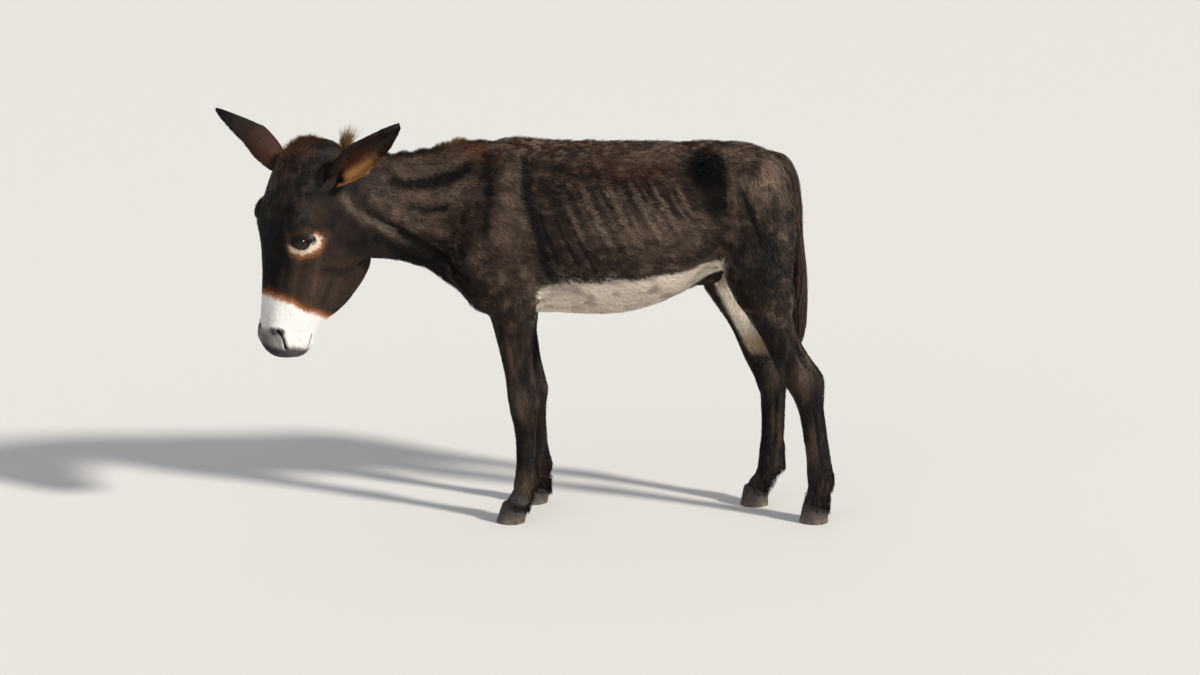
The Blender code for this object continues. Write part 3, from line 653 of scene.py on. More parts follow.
RIB_COUNT, RIB_SPACING, RIB_FIRST = 12, 0.0272, -0.112
RIB_TOP, RIB_FOOT, RIB_WIDTH, RIB_HEIGHT = 0.838, 0.650, 0.0066, 0.0052

HEAD_MARKS = (      # route as t, n, l on the left side, half width, height
    # the ridge of the cheek bone and the hollows over and before it
    (((0.238, -0.088, 0.070), (0.290, -0.090, 0.062), (0.345, -0.088, 0.050)), 0.008, 0.0040),
    (((0.268, -0.056, 0.074), (0.320, -0.056, 0.062), (0.370, -0.052, 0.053)), 0.011, -0.0035),
    (((0.298, -0.104, 0.060), (0.304, -0.160, 0.060), (0.292, -0.215, 0.050)), 0.011, -0.0040),
    # nose bones, brow, and the groove of the jaw
    (((0.290, -0.014, 0.044), (0.360, -0.010, 0.037), (0.425, -0.012, 0.030)), 0.008, 0.0022),
    (((0.180, -0.020, 0.070), (0.200, -0.016, 0.066), (0.236, -0.022, 0.066)), 0.009, 0.0030),
    (((0.330, -0.140, 0.045), (0.390, -0.118, 0.044), (0.440, -0.104, 0.046)), 0.009, -0.0030),
    # folds beside the nostril and over the lip
    (((0.430, -0.044, 0.052), (0.452, -0.056, 0.052), (0.472, -0.066, 0.050)), 0.005, -0.0016),
    (((0.440, -0.074, 0.052), (0.462, -0.080, 0.052), (0.480, -0.082, 0.048)), 0.005, 0.0016),
)
HEAD_BUMPS = (      # place as t, n, l, radius, height
    ((0.152, -0.038, 0.066), 0.016, -0.0050),
    ((0.100, 0.004, 0.000), 0.030, 0.0020),
    ((0.486, -0.010, 0.018), 0.014, 0.0012),
)
NOSTRIL = ((0.436, -0.012, 0.040), (0.445, -0.019, 0.048), (0.457, -0.024, 0.052), (0.470, -0.028, 0.050),
           (0.478, -0.032, 0.046))
NOSTRIL_DEPTH, NOSTRIL_HALF_WIDTH, NOSTRIL_RIM = 0.013, 0.0040, 0.0022
MOUTH = ((0.515, -0.066, 0.000), (0.509, -0.070, 0.020), (0.494, -0.082, 0.036), (0.474, -0.094, 0.044),
         (0.456, -0.104, 0.047))
MOUTH_DEPTH, MOUTH_HALF_WIDTH = 0.0045, 0.0022
NOSE_STRIPE = ((0.438, -0.018, 0.046), (0.437, 0.004, 0.026))

EYE_BALL = 0.0205
LID_HALF_LENGTH, LID_HALF_HEIGHT, LID_SLANT, LID_LIFT = 0.0176, 0.0098, math.radians(10), 0.0016
LID_DROP = -0.0018
LID_POWER, UPPER_LID, LOWER_LID = 1.7, 0.86, 1.12       # the opening's roundness, and each lid's share of it
LID_REACH, SOCKET_DEPTH = 0.050, 0.0045
LID_FOLD, LID_FOLD_PLACE, LID_FOLD_WIDTH = 0.0010, 0.0062, 0.0016

LEG_TOP, LEG_REACH, LEG_HALF = {"fore": 0.545, "hind": 0.600}, 0.13, 0.060
CANNON_GROOVE = {"fore": (0.125, 0.235), "hind": (0.125, 0.300)}
CREASES = {         # front (1) or back (-1), height, half height, rise: fetlock, pastern, knee
    "fore": ((1, 0.084, 0.006, -0.0018), (-1, 0.104, 0.012, 0.0022), (1, 0.298, 0.004, -0.0016),
             (1, 0.271, 0.004, -0.0016), (-1, 0.296, 0.012, 0.0030)),
    "hind": ((1, 0.084, 0.006, -0.0018), (-1, 0.104, 0.012, 0.0022)),
}
TENDONS = {         # place ahead of the middle, half width, height, half height, rise, on both sides
    "fore": ((-0.016, 0.007, 0.345, 0.040, -0.0030), (0.010, 0.006, 0.420, 0.045, -0.0022)),
    "hind": ((-0.026, 0.009, 0.425, 0.045, -0.0060), (-0.002, 0.012, 0.350, 0.016, 0.0024),
             (0.016, 0.006, 0.460, 0.050, -0.0026)),
}


def route_distance(points, route, reach):
    """Distance in the side view from a broken line, far away where it is beyond reach."""
    route = np.array(route)
    flat = points[:, (0, 2)]
    near = np.all((flat > route.min(0) - reach) & (flat < route.max(0) + reach), axis=1)
    found = np.full(len(points), 9.0)
    if near.any():
        path = np.column_stack((route[:, 0], np.zeros(len(route)), route[:, 1]))
        close = np.column_stack((flat[near, 0], np.zeros(near.sum()), flat[near, 1]))
        found[near] = path_distance(close, path)[0]
    return found


def side_bell(points, place, size):
    """1 at a place in the side view, falling off over a half length and a half height."""
    return bell(np.hypot((points[:, 0] - place[0]) / size[0], (points[:, 2] - place[1]) / size[1]), 1.0)


def head_share(points):
    """1 on the head and 0 on the neck."""
    return ramp(ahead_of_neck(points), -0.030, 0.010)


def leg_place(points):
    """The leg each point is on (its number in LEGS, or -1), and how far ahead and outwards of its middle."""
    z = points[:, 2]
    on = np.full(len(points), -1)
    ahead, outward = np.zeros(len(points)), np.zeros(len(points))
    for number, (kind, sign, joints) in enumerate(leg[:3] for leg in LEGS):
        xs, ys, heights = np.array(joints)[::-1].T
        a = np.interp(z, heights, xs) - points[:, 0]
        b = (points[:, 1] - np.interp(z, heights, ys)) * sign
        mine = (z < LEG_TOP[kind]) & (np.abs(a) < LEG_REACH) & (np.abs(b) < LEG_HALF)
        on[mine], ahead[mine], outward[mine] = number, a[mine], b[mine]
    return on, ahead, outward


def leg_share(points):
    """1 on a leg, and less towards its top."""
    return (leg_place(points)[0] >= 0) * fade(points[:, 2], 0.44, 0.53)


def rib_lines(points):
    """1 on the middle of every rib and 0 between them, over the part of the side where they show."""
    x, z = points[:, 0], points[:, 2]
    foot = RIB_FOOT + 0.022 * ramp(x, 0.0, 0.22)
    shown = fade(z, RIB_TOP - 0.050, RIB_TOP + 0.020) * ramp(x, -0.16, -0.04) * fade(x, 0.19, 0.235)
    drop = RIB_TOP - z
    found = np.zeros(len(points))
    for k in range(RIB_COUNT):
        middle = RIB_FIRST + RIB_SPACING * k + drop * (0.40 + 0.012 * k) + 0.5 * drop * drop
        middle = middle + 0.004 * math.sin(2.3 * k)
        reach = 0.010 * math.sin(1.7 * k + 0.5)
        found += (0.75 + 0.25 * math.sin(3.1 * k + 1.0)) * bell(x - middle, RIB_WIDTH) \
            * ramp(z - reach, foot - 0.01, foot + 0.055)
    return shown * found


def carve_body(points, normals):
    """Ribs, shoulder, neck folds, flank and haunch, as heights along the normals."""
    x, y, z = points.T
    sideways = np.abs(normals[:, 1]) ** 1.5 * fade(ahead_of_neck(points), 0.004, 0.022)
    height = np.zeros(len(points))
    for route, width, rise in SIDE_MARKS:
        height += rise * sideways * bell(route_distance(points, route, 3 * width), width)
    for place, size, rise in SIDE_BUMPS:
        height += rise * sideways * side_bell(points, place, size)
    height += RIB_HEIGHT * sideways * rib_lines(points)
    breast = bell(y, 0.012) * ramp(-x, 0.270, 0.310) * ramp(-z, -0.720, -0.660) * (z > 0.5)
    height -= 0.006 * breast
    spine = bell(y, 0.010) * ramp(normals[:, 2], 0.6, 0.9) * ramp(x, -0.24, -0.16)
    height += 0.0016 * spine * (0.6 + 0.4 * np.cos(x * 2 * math.pi / 0.034))
    return height


def carve_legs(points, normals):
    """Tendons, creases and joints of the legs, as heights along the normals."""
    on, ahead = leg_place(points)[:2]
    z = points[:, 2]
    height = np.zeros(len(points))
    sideways, facing = np.abs(normals[:, 1]), -normals[:, 0]
    for kind, numbers in (("fore", FORELEGS), ("hind", HINDLEGS)):
        mine = np.isin(on, numbers)
        low, high = CANNON_GROOVE[kind]
        band = ramp(z, low - 0.01, low + 0.02) * fade(z, high - 0.02, high + 0.01)
        height -= mine * 0.0026 * sideways * band * bell(ahead + 0.008, 0.0042)
        for way, level, half, rise in CREASES[kind]:
            height += mine * rise * bell(z - level, half) * np.clip(facing * way, 0, 1)
        for place, width, level, half, rise in TENDONS[kind]:
            height += mine * rise * sideways * bell(ahead - place, width) * bell(z - level, half)
    return height


LAID = {}       # the lines of the nostrils and the mouth, laid on the skin, and the stripe over each nostril


def lay_routes(points):
    """Moves every point of the nostrils' and the mouth's routes to the nearest place on the skin."""
    for sign in (1, -1):
        for name, route in (("nostril", NOSTRIL), ("mouth", MOUTH)):
            LAID[name, sign] = [points[np.argmin(distance_to(points, place))]
                                for place in mirrored(route, sign)]
        LAID["stripe", sign] = mirrored(NOSE_STRIPE, sign)


def carve_head(points):
    """Bones, hollows, nostrils and mouth of the head, as heights along the normals."""
    height = np.zeros(len(points))
    own = head_share(points)
    for sign in (1, -1):
        for route, width, rise in HEAD_MARKS:
            height += rise * own * bell(path_distance(points, mirrored(route, sign))[0], width * 1.5)
        for place, radius, rise in HEAD_BUMPS:
            height += rise * own * bell(distance_to(points, mirrored((place,), sign)[0]), radius)
        slit, lips = (path_distance(points, LAID[name, sign])[0] for name in ("nostril", "mouth"))
        height += NOSTRIL_RIM * bell(slit - NOSTRIL_HALF_WIDTH - 0.004, 0.0035)
        height -= NOSTRIL_DEPTH * fade(slit, 0.0022, NOSTRIL_HALF_WIDTH + 0.0022)
        height += 0.0016 * bell(lips - 0.006, 0.004)
        height -= MOUTH_DEPTH * fade(lips, 0.0004, MOUTH_HALF_WIDTH + 0.001)
    return height


def lid_axes(sign):
    """The eyeball's middle, and the ways along the lids, across them and outwards."""
    centre = mirrored((EYE_PLACE,), sign)[0]
    along = OUT_FACE * math.cos(LID_SLANT) + DOWN_FACE * math.sin(LID_SLANT)
    outward = unit(HEAD_LEFT * sign + OUT_FACE * 0.18)
    along = unit(along - outward * (along @ outward))
    across = np.cross(outward, along)
    if across @ DOWN_FACE < 0:
        across = -across
    return centre, along, across, outward


def lid_gap(points, sign):
    """(metres outside the lids' opening, distance from the eyeball's middle, how far outwards, across)."""
    centre, along, across, outward = lid_axes(sign)
    away = points - centre
    distance = np.linalg.norm(away, axis=1)
    ray = away / np.maximum(distance, 1e-6)[:, None]
    u, w = ray @ along * EYE_BALL, ray @ across * EYE_BALL - LID_DROP
    half_height = LID_HALF_HEIGHT * np.where(w > 0, LOWER_LID, UPPER_LID)
    level = np.abs(u / LID_HALF_LENGTH) ** LID_POWER + np.abs(w / half_height) ** LID_POWER
    return (level ** (1 / LID_POWER) - 1) * LID_HALF_HEIGHT, distance, ray @ outward, w


def shape_lids(points):
    """Lays the skin round each eyeball, open where the eye shows."""
    for sign in (1, -1):
        centre = lid_axes(sign)[0]
        near = np.nonzero(distance_to(points, centre) < LID_REACH)[0]
        gap, distance, out, w = lid_gap(points[near], sign)
        lid = EYE_BALL + LID_LIFT + 0.0012 * ramp(gap, 0.0, 0.004)
        lid -= LID_FOLD * bell(gap - LID_FOLD_PLACE, LID_FOLD_WIDTH) * (w < 0)
        target = np.where(gap < 0, EYE_BALL - SOCKET_DEPTH, lid)
        reach = fade(gap, 0.004, 0.019)
        share = reach * ramp(out, 0.02, 0.30)
        ray = (points[near] - centre) / np.maximum(distance, 1e-6)[:, None]
        wanted = np.where(gap < 0, target, np.maximum(target, np.minimum(distance, target + 0.004)))
        points[near] = centre + ray * (distance + (wanted - distance) * share)[:, None]


def refine_near(skin, places, radius):
    """One round of subdivision of the faces within a radius of some places."""
    form = bmesh.new()
    form.from_mesh(skin.data)
    points = mesh_points(skin.data)
    near = np.min([distance_to(points, place) for place in places], axis=0) < radius
    form.verts.ensure_lookup_table()
    chosen = {edge for k in np.nonzero(near)[0] for edge in form.verts[int(k)].link_edges}
    bmesh.ops.subdivide_edges(form, edges=sorted(chosen, key=lambda e: e.index), cuts=1, use_grid_fill=True)
    form.to_mesh(skin.data)
    form.free()


def drawn(values, *steps):
    """Values drawn towards others by their shares, one after the other."""
    for other, share in steps:
        values = values + (other - values) * share
    return values


def coat_depth(points):
    """How far the skin lies inside the solids, which reach to the coat's tips."""
    return drawn(np.full(len(points), BODY_DEPTH), (LEG_DEPTH, leg_share(points)),
                 (HEAD_DEPTH, head_share(points)), (EAR_DEPTH, near_ears(points)))


def coronet(ahead):
    """The level of a hoof's top edge, which slopes down to the heel."""
    return HOOF_HEIGHT + ahead * math.tan(CORONET_SLOPE)


def tuck_into_hooves(points):
    """Draws the legs' ends in, so that they sit inside the hooves below the coronet."""
    on, ahead, outward = leg_place(points)
    z = points[:, 2]
    edge = coronet(ahead)
    share = (on >= 0) * fade(z, edge - 0.006, edge + 0.001) * 0.30
    sign = np.where(np.isin(on, LEFT_LEGS), -1, 1)
    points[:, 0] += ahead * share
    points[:, 1] -= outward * sign * share
    points[:, 2] = np.maximum(z, 0.010)


def carve_skin(skin):
    """Finer faces at the eyes, nose and mouth, then every mark, then the depth of the coat."""
    eyes = mirrored((EYE_PLACE,), 1) + mirrored((EYE_PLACE,), -1)
    nostrils = mirrored(NOSTRIL[::2], 1) + mirrored(NOSTRIL[::2], -1)
    mouth = mirrored(MOUTH, 1) + mirrored(MOUTH, -1)
    for places, radius in ((eyes, 0.032), (eyes, 0.027), (nostrils, 0.020), (nostrils + mouth, 0.013)):
        refine_near(skin, places, radius)
    points, normals = mesh_points(skin.data), mesh_normals(skin.data)
    lay_routes(points)
    height = carve_body(points, normals) + carve_legs(points, normals) + carve_head(points)
    # A living body is nowhere quite even.
    for lump, size, seed in ((0.0016, 0.060, 1), (0.0007, 0.018, 2)):
        height += lump * (noise(points, size, seed) - 0.5) * (1 - near_ears(points))
    points += normals * (height - coat_depth(points))[:, None]
    shape_lids(points)
    tuck_into_hooves(points)
    set_points(skin.data, points)


def thin_out(skin):
    """Fewer triangles on the body, and nearly all kept on the head."""
    points = mesh_points(skin.data)
    weight = np.clip(1.0 - 0.6 * head_share(points), 0.1, 1.0)
    for sign in (1, -1):
        eye = lid_axes(sign)[0]
        weight = np.minimum(weight, 0.05 + ramp(distance_to(points, eye), 0.02, 0.04))
        for place in mirrored(NOSTRIL, sign):
            weight = np.minimum(weight, 0.1 + ramp(distance_to(points, place), 0.008, 0.020))
    add_weights(skin, "thin", weight)
    thin = skin.modifiers.new("fewer", "DECIMATE")
    thin.ratio = SKIN_TRIANGLES / (len(skin.data.polygons) * 2)
    thin.vertex_group, thin.vertex_group_factor = "thin", 1.0
    apply_modifiers(skin)
    skin.vertex_groups.clear()


# ---------------------------------------------------------------- the coat's colours
def srgb(red, green, blue):
    """A colour as seen, 0 to 255, in the linear values that shaders take."""
    seen = np.array((red, green, blue)) / 255
    return np.where(seen <= 0.04045, seen / 12.92, ((seen + 0.055) / 1.055) ** 2.4)


BLACK, DARK, BROWN = srgb(15, 12, 10), srgb(45, 36, 31), srgb(82, 67, 56)
ASH, RUST, TAN = srgb(124, 107, 94), srgb(102, 61, 45), srgb(176, 118, 74)
STRAW, CREAM, WHITE = srgb(178, 142, 80), srgb(238, 224, 206), srgb(248, 246, 243)
GOLD = srgb(232, 172, 106)
GREY, LIP, BELLY = srgb(112, 103, 97), srgb(42, 38, 38), srgb(234, 224, 211)
BELLY_EDGE = (      # x and z of the white belly's upper edge
    (-0.175, 0.540), (-0.152, 0.560), (-0.125, 0.578), (-0.093, 0.586), (0.0, 0.588), (0.093, 0.597),
    (0.186, 0.612), (0.245, 0.628), (0.280, 0.640),
)
# x and z of the upper edge of the painted shade under the neck and on the breast
THROAT_SHADE_EDGE = (
    (-0.62, 0.74), (-0.50, 0.715), (-0.442, 0.680), (-0.373, 0.642), (-0.315, 0.600), (-0.25, 0.56),
)
WITHERS = ((-0.318, 0.905), (-0.262, 0.866))
# the middle of the painted shadow in the flank hollow, in the side view
FLANK_SHADOW = (0.243, 0.848)
# route of a painted highlight along the jaw's rear edge, in the side view
JAW_HIGHLIGHT = ((-0.590, 0.795), (-0.574, 0.765), (-0.543, 0.735), (-0.516, 0.723), (-0.488, 0.700))
# painted sheen in brown on the shoulder, neck, croup, flank and thigh
BROWN_SHEEN_SPOTS = (     # place in the side view, half length and half height, share
    ((-0.215, 0.720), (0.060, 0.120), 0.85),
    ((-0.400, 0.865), (0.130, 0.036), 0.90),
    ((-0.405, 0.765), (0.090, 0.055), 0.90),
    ((0.350, 0.855), (0.070, 0.060), 0.90),
    ((0.150, 0.700), (0.110, 0.060), 0.75),
    ((0.430, 0.740), (0.030, 0.090), 0.60),
)
# paler painted sheen in ash on the rump, flank, neck, shoulder and back
ASH_SHEEN_SPOTS = (
    ((0.375, 0.840), (0.055, 0.055), 0.90),
    ((0.085, 0.712), (0.110, 0.042), 0.66),
    ((-0.405, 0.800), (0.090, 0.070), 0.33),
    ((-0.215, 0.730), (0.050, 0.110), 0.20),
    ((0.060, 0.890), (0.160, 0.030), 0.45),
)
# painted shade in the hollow below the flank and on the lower thigh
PAINTED_SHADE_SPOTS = (
    ((0.262, 0.778), (0.030, 0.032), 0.60),
    ((0.360, 0.640), (0.050, 0.085), 0.70),
)
# painted highlights on the hocks, cannons, knees, forearms and a fetlock
LEG_HIGHLIGHTS = (
    ((0.478, 0.365), (0.020, 0.040), 0.55),
    ((0.503, 0.180), (0.012, 0.060), 0.40),
    ((0.420, 0.340), (0.016, 0.040), 0.40),
    ((-0.188, 0.300), (0.020, 0.035), 0.50),
    ((-0.205, 0.400), (0.014, 0.060), 0.40),
    ((-0.182, 0.110), (0.018, 0.030), 0.35),
)
EYE_RINGS = (       # colour, share, how far back and low, half length, half heights up and down, from, to
    (BROWN, 0.70, 0.007, 0.014, 0.060, 0.044, 0.048, 0.80, 1.50),
    (RUST, 0.70, 0.007, 0.014, 0.060, 0.044, 0.048, 0.55, 1.00),
    (TAN, 0.85, 0.008, 0.006, 0.050, 0.032, 0.036, 0.72, 1.12),
    (CREAM, 0.97, 0.008, 0.002, 0.040, 0.021, 0.026, 0.85, 1.06),
)
EYE_CORNERS = (0.0205, -0.0215)
MUZZLE_EDGE = 0.356     # t where the white begins, at the front of the nose
MUZZLE_BANDS = (    # colour, share, from, to
    (RUST, 0.75, -0.026, -0.010), (TAN, 0.85, -0.014, -0.003), (WHITE, 1.0, -0.004, 0.008),
)
MUZZLE_LINES = (    # line, colour, share, from, to
    # the nostril's inner, near-black line is painted shade deep in its opening
    ("nostril", LIP, 0.9, 0.0065, 0.0125), ("nostril", LIP * 0.2, 1.0, 0.0030, 0.0070),
    ("stripe", LIP, 0.85, 0.004, 0.013), ("mouth", LIP, 0.9, 0.003, 0.008),
)


def mix(first, other, share):
    """The first moved towards the other by a share for every row."""
    return first + (other - first) * np.clip(share, 0, 1)[:, None]


def layers(first, *others):
    """Colours, or directions, with others laid over them by their shares, one after the other."""
    for other, share in others:
        first = mix(first, other, share)
    return first


def between(first, other, share):
    """A mixture of two colours for every share."""
    return mix(np.tile(first, (len(share), 1)), other, share)


def spots(points, colour, table, strength=1.0):
    """Layers for soft spots in the side view."""
    return [(colour, share * side_bell(points, place, size) * strength) for place, size, share in table]


def body_colours(points, normals):
    """Dark brown and mottled, flecked where the sun bleaches the back, with painted sheen, painted highlights
    on ribs and ridges, and painted shade in the hollows and underneath.
    """
    x, z = points[:, 0], points[:, 2]
    off_head = 1 - head_share(points)
    patches, clumps = noise(points, 0.085, 3), noise(points, (0.020, 0.012, 0.012), 4)
    fine = noise(points, 0.006, 5)
    mottle = 0.5 * noise(points, (0.013, 0.010, 0.008), 16) + 0.5 * noise(points, (0.026, 0.016, 0.016), 17)
    haunch = ramp(x, 0.29, 0.34) * ramp(z, 0.52, 0.60)
    blots = ramp(noise(points, (0.018, 0.020, 0.034), 19), 0.55, 0.80)
    back = ramp(z, 0.845, 0.905) * off_head * ramp(x, -0.33, -0.24)
    flecks = ramp(noise(points, (0.010, 0.008, 0.006), 14), 0.45, 0.75)
    withers = bell(route_distance(points, WITHERS, 0.1), 0.020)
    ribs = ramp(z, 0.70, 0.80) * ramp(x, -0.13, 0.0) * fade(x, 0.18, 0.26)
    rib_highlights = rib_lines(points)
    shown = ramp(x, -0.13, 0.0) * fade(x, 0.18, 0.24) * ramp(z, 0.655, 0.745)
    shown = shown * fade(z, 0.79, 0.84) * (0.85 + 0.5 * (patches - 0.5))
    shaded_relief = carve_body(points, normals) + 0.0016 * (clumps - 0.5)
    under = z - np.interp(x, *np.transpose(THROAT_SHADE_EDGE))
    throat_shade = ramp(-x, 0.27, 0.33) * fade(under, -0.030, 0.018) * off_head
    pit_shadow = np.hypot((x - FLANK_SHADOW[0]) / np.where(x > FLANK_SHADOW[0], 0.046, 0.062), (z - FLANK_SHADOW[1]) / 0.046)
    return layers(
        between(DARK, BLACK, 0.7 * ramp(patches, 0.35, 0.75)),
        # Painted sheen lays brown, and then paler ash, on the shoulder, the croup, the flank and the neck's
        # side.
        *spots(points, BROWN, BROWN_SHEEN_SPOTS, 0.75 + 0.5 * (clumps - 0.5)),
        *spots(points, ASH * 1.35, ASH_SHEEN_SPOTS, 0.8 + 0.8 * (clumps - 0.5)),
        # Random clumps, mottling and blots in brown, ash and black.
        (BROWN, 0.45 * ramp(clumps * 0.6 + fine * 0.4, 0.45, 0.85)),
        (ASH, 0.42 * ramp(mottle, 0.52, 0.80)),
        (BLACK, 0.55 * ramp(-mottle, -0.48, -0.22)),
        (BLACK, 0.75 * haunch * blots),
        # The sun has bleached the back and the ribs in small flecks.
        (BLACK, back * 0.50),
        (RUST, back * 0.35 * ramp(clumps, 0.40, 0.80)),
        (ASH * 1.15, back * 0.85 * flecks),
        (RUST, 0.8 * withers * ramp(fine, 0.2, 0.7) * off_head),
        (RUST, 0.32 * ribs * ramp(fine * 0.5 + patches * 0.5, 0.4, 0.8)),
        # Painted highlights along the ribs, and painted shade between them.
        (BLACK, 0.45 * shown * (1 - rib_highlights)),
        (ASH, 0.58 * shown * ramp(rib_highlights + 0.4 * (fine - 0.5), 0.30, 1.00)),
        # Painted highlights on what stands proud, and painted shade in every hollow.
        (ASH, 0.45 * ramp(shaded_relief, 0.0006, 0.0050)),
        (BLACK, 0.96 * ramp(-shaded_relief, 0.0004, 0.0068)),
        # Painted shade makes the neck's underside and the breast nearly black, a painted shadow from the hip
        # fills the flank hollow, and painted shade darkens the hollow below it and the lower thigh.
        (BLACK, 0.85 * throat_shade),
        (BLACK * 0.5, 0.97 * fade(pit_shadow + 0.15 * (clumps - 0.5), 0.62, 1.05)),
        *spots(points, BLACK, PAINTED_SHADE_SPOTS),
    )


def on_leg(points):
    """1 on a leg proper and 0 on the trunk beside its top."""
    on, ahead, outward = leg_place(points)
    z = points[:, 2]
    found = np.zeros(len(points))
    for numbers, sections in ((FORELEGS, FORE_SECTIONS), (HINDLEGS, HIND_SECTIONS)):
        rows = np.array(sections)[::-1]
        front, rear, half = (np.interp(z, rows[:, 0], rows[:, k]) for k in (1, 2, 3))
        away = np.hypot(ahead / np.where(ahead > 0, front, rear), outward / half)
        found = np.where(np.isin(on, numbers), fade(away, 1.10, 1.35), found)
    return np.where(z < 0.485, (on >= 0) * 1.0, found)


def belly_share(points):
    """1 on the white belly, on the inner sides of the thighs and high inside the forearms."""
    x, y, z = points.T
    wobble = 0.010 * (noise(points, 0.030, 6) - 0.5) + 0.005 * (noise(points, 0.008, 7) - 0.5)
    edge = np.interp(x, *np.transpose(BELLY_EDGE))
    inside = ramp(x + 0.15 * (0.585 - z), -0.152, -0.138) * fade(x, 0.275, 0.300)
    belly = inside * ramp(edge + wobble - z, -0.003, 0.004) * (1 - on_leg(points))
    # A faint painted shade along the belly's middle line, back from the elbows.
    belly = belly * (1 - 0.4 * bell(y, 0.006) * (x > -0.1))
    off_sheath = ramp(distance_to((points - SHEATH[0]) / (np.array(SHEATH[1]) + 0.013), 0), 1.0, 1.2)
    on, ahead, outward = leg_place(points)
    inner = ramp(-outward, -0.002, 0.010)
    hind = np.isin(on, HINDLEGS) * ramp(z, 0.375, 0.415) * ramp(-ahead, -0.034, -0.022)
    hind = hind * fade(-ahead + wobble, 0.012, 0.034)
    fore = np.isin(on, FORELEGS) * ramp(z, 0.480, 0.520) * ramp(-ahead, 0.010, 0.030)
    groin = (on < 0) * (np.abs(y) < 0.075) * ramp(x, 0.26, 0.28) * ramp(wobble - z, -0.665, -0.615)
    groin = groin * fade(x, 0.330, 0.370)
    return np.maximum(belly * off_sheath, np.maximum(inner * np.maximum(hind, fore), groin) * off_sheath)


def leg_colours(points, normals, colours):
    """Black legs with brown streaks of painted sheen, painted highlights on joints and tendons, painted shade
    in the creases, and dust at the fetlocks.
    """
    legs = leg_share(points)
    streaks = noise(points, (0.010, 0.010, 0.045), 8)
    relief = carve_legs(points, normals)
    dust = fade(points[:, 2], 0.040, 0.090) * (0.20 + 0.45 * noise(points, 0.014, 9))
    return layers(
        colours,
        (BLACK, 0.88 * legs),
        # Brown streaks of painted sheen.
        (BROWN, 0.55 * legs * ramp(streaks, 0.45, 0.85)),
        (RUST, 0.09 * legs * ramp(noise(points, (0.02, 0.02, 0.05), 13), 0.55, 0.9)),
        *spots(points, ASH, LEG_HIGHLIGHTS, legs * (0.4 + streaks)),
        # Painted highlights where joints and tendons stand proud, and painted shade in the creases.
        (BROWN, 0.60 * legs * ramp(relief, 0.0006, 0.0026)),
        (BLACK, 0.90 * legs * ramp(-relief, 0.0005, 0.0030)),
        (GREY, 0.40 * legs * dust),
    )


def eye_colours(points, face, own, fine):
    """The pale ring round each eye, open above it, with tan and rust outside it, the dark lids, and painted
    shade over the eye from the upper lid and lashes.
    """
    for sign in (1, -1):
        centre, along, across, outward = lid_axes(sign)
        away = points - centre
        u, w = away @ along, away @ across
        near = ramp(away @ outward, -0.010, 0.004) * own
        opened = np.maximum(ramp(w, -0.008, 0.002), ramp(-u, 0.010, 0.022) * (w > -0.026))
        for colour, share, back, low, length, up, down, inner, outer in EYE_RINGS:
            ring = np.hypot((u + back) / length, (w - low) / np.where(w > low, down, up))
            share = near * share * fade(ring + 0.22 * (fine - 0.5), inner, outer)
            face = mix(face, colour, share if colour is BROWN else share * opened)
        gap, distance, out, height = lid_gap(points, sign)
        close = near * (distance < 0.034) * (out > 0.15)
        corners = [np.hypot((u - end) / 0.0055, (w + 0.0005 - 0.10 * abs(end)) / 0.0030)
                   for end in EYE_CORNERS]
        face = layers(
            face,
            (LIP * 0.4, close * fade(gap, 0.0014, 0.0036)),
            # Painted shade above the eye, under the upper lid and its lashes.
            (BLACK, close * 0.85 * fade(gap, 0.005, 0.012) * ramp(-height, 0.0, 0.003)),
            *((BLACK, near * 0.9 * fade(corner, 0.7, 1.3)) for corner in corners),
        )
    return face


def muzzle_colours(points, face, own, t, n, soft, fine):
    """The white muzzle with a rust edge, a grey snout, dark lips, and painted shade deep in the nostrils."""
    edge = MUZZLE_EDGE + 0.42 * np.maximum(-n, 0.0) + 0.008 * (soft - 0.5) + 0.006 * (fine - 0.5)
    snout = ramp(t, 0.425, 0.444) * ramp(n, -0.028, -0.014)
    return layers(
        face,
        *((colour, share * ramp(t - edge, low, high)) for colour, share, low, high in MUZZLE_BANDS),
        (GREY * 0.45, 0.90 * snout * (0.75 + 0.5 * (soft - 0.5))),
        (LIP, 0.92 * ramp(t + 0.25 * np.minimum(n + 0.05, 0.0), 0.466, 0.484)),
        *((colour, own * share * fade(path_distance(points, LAID[line, sign])[0], low, high))
          for sign in (1, -1) for line, colour, share, low, high in MUZZLE_LINES),
    )


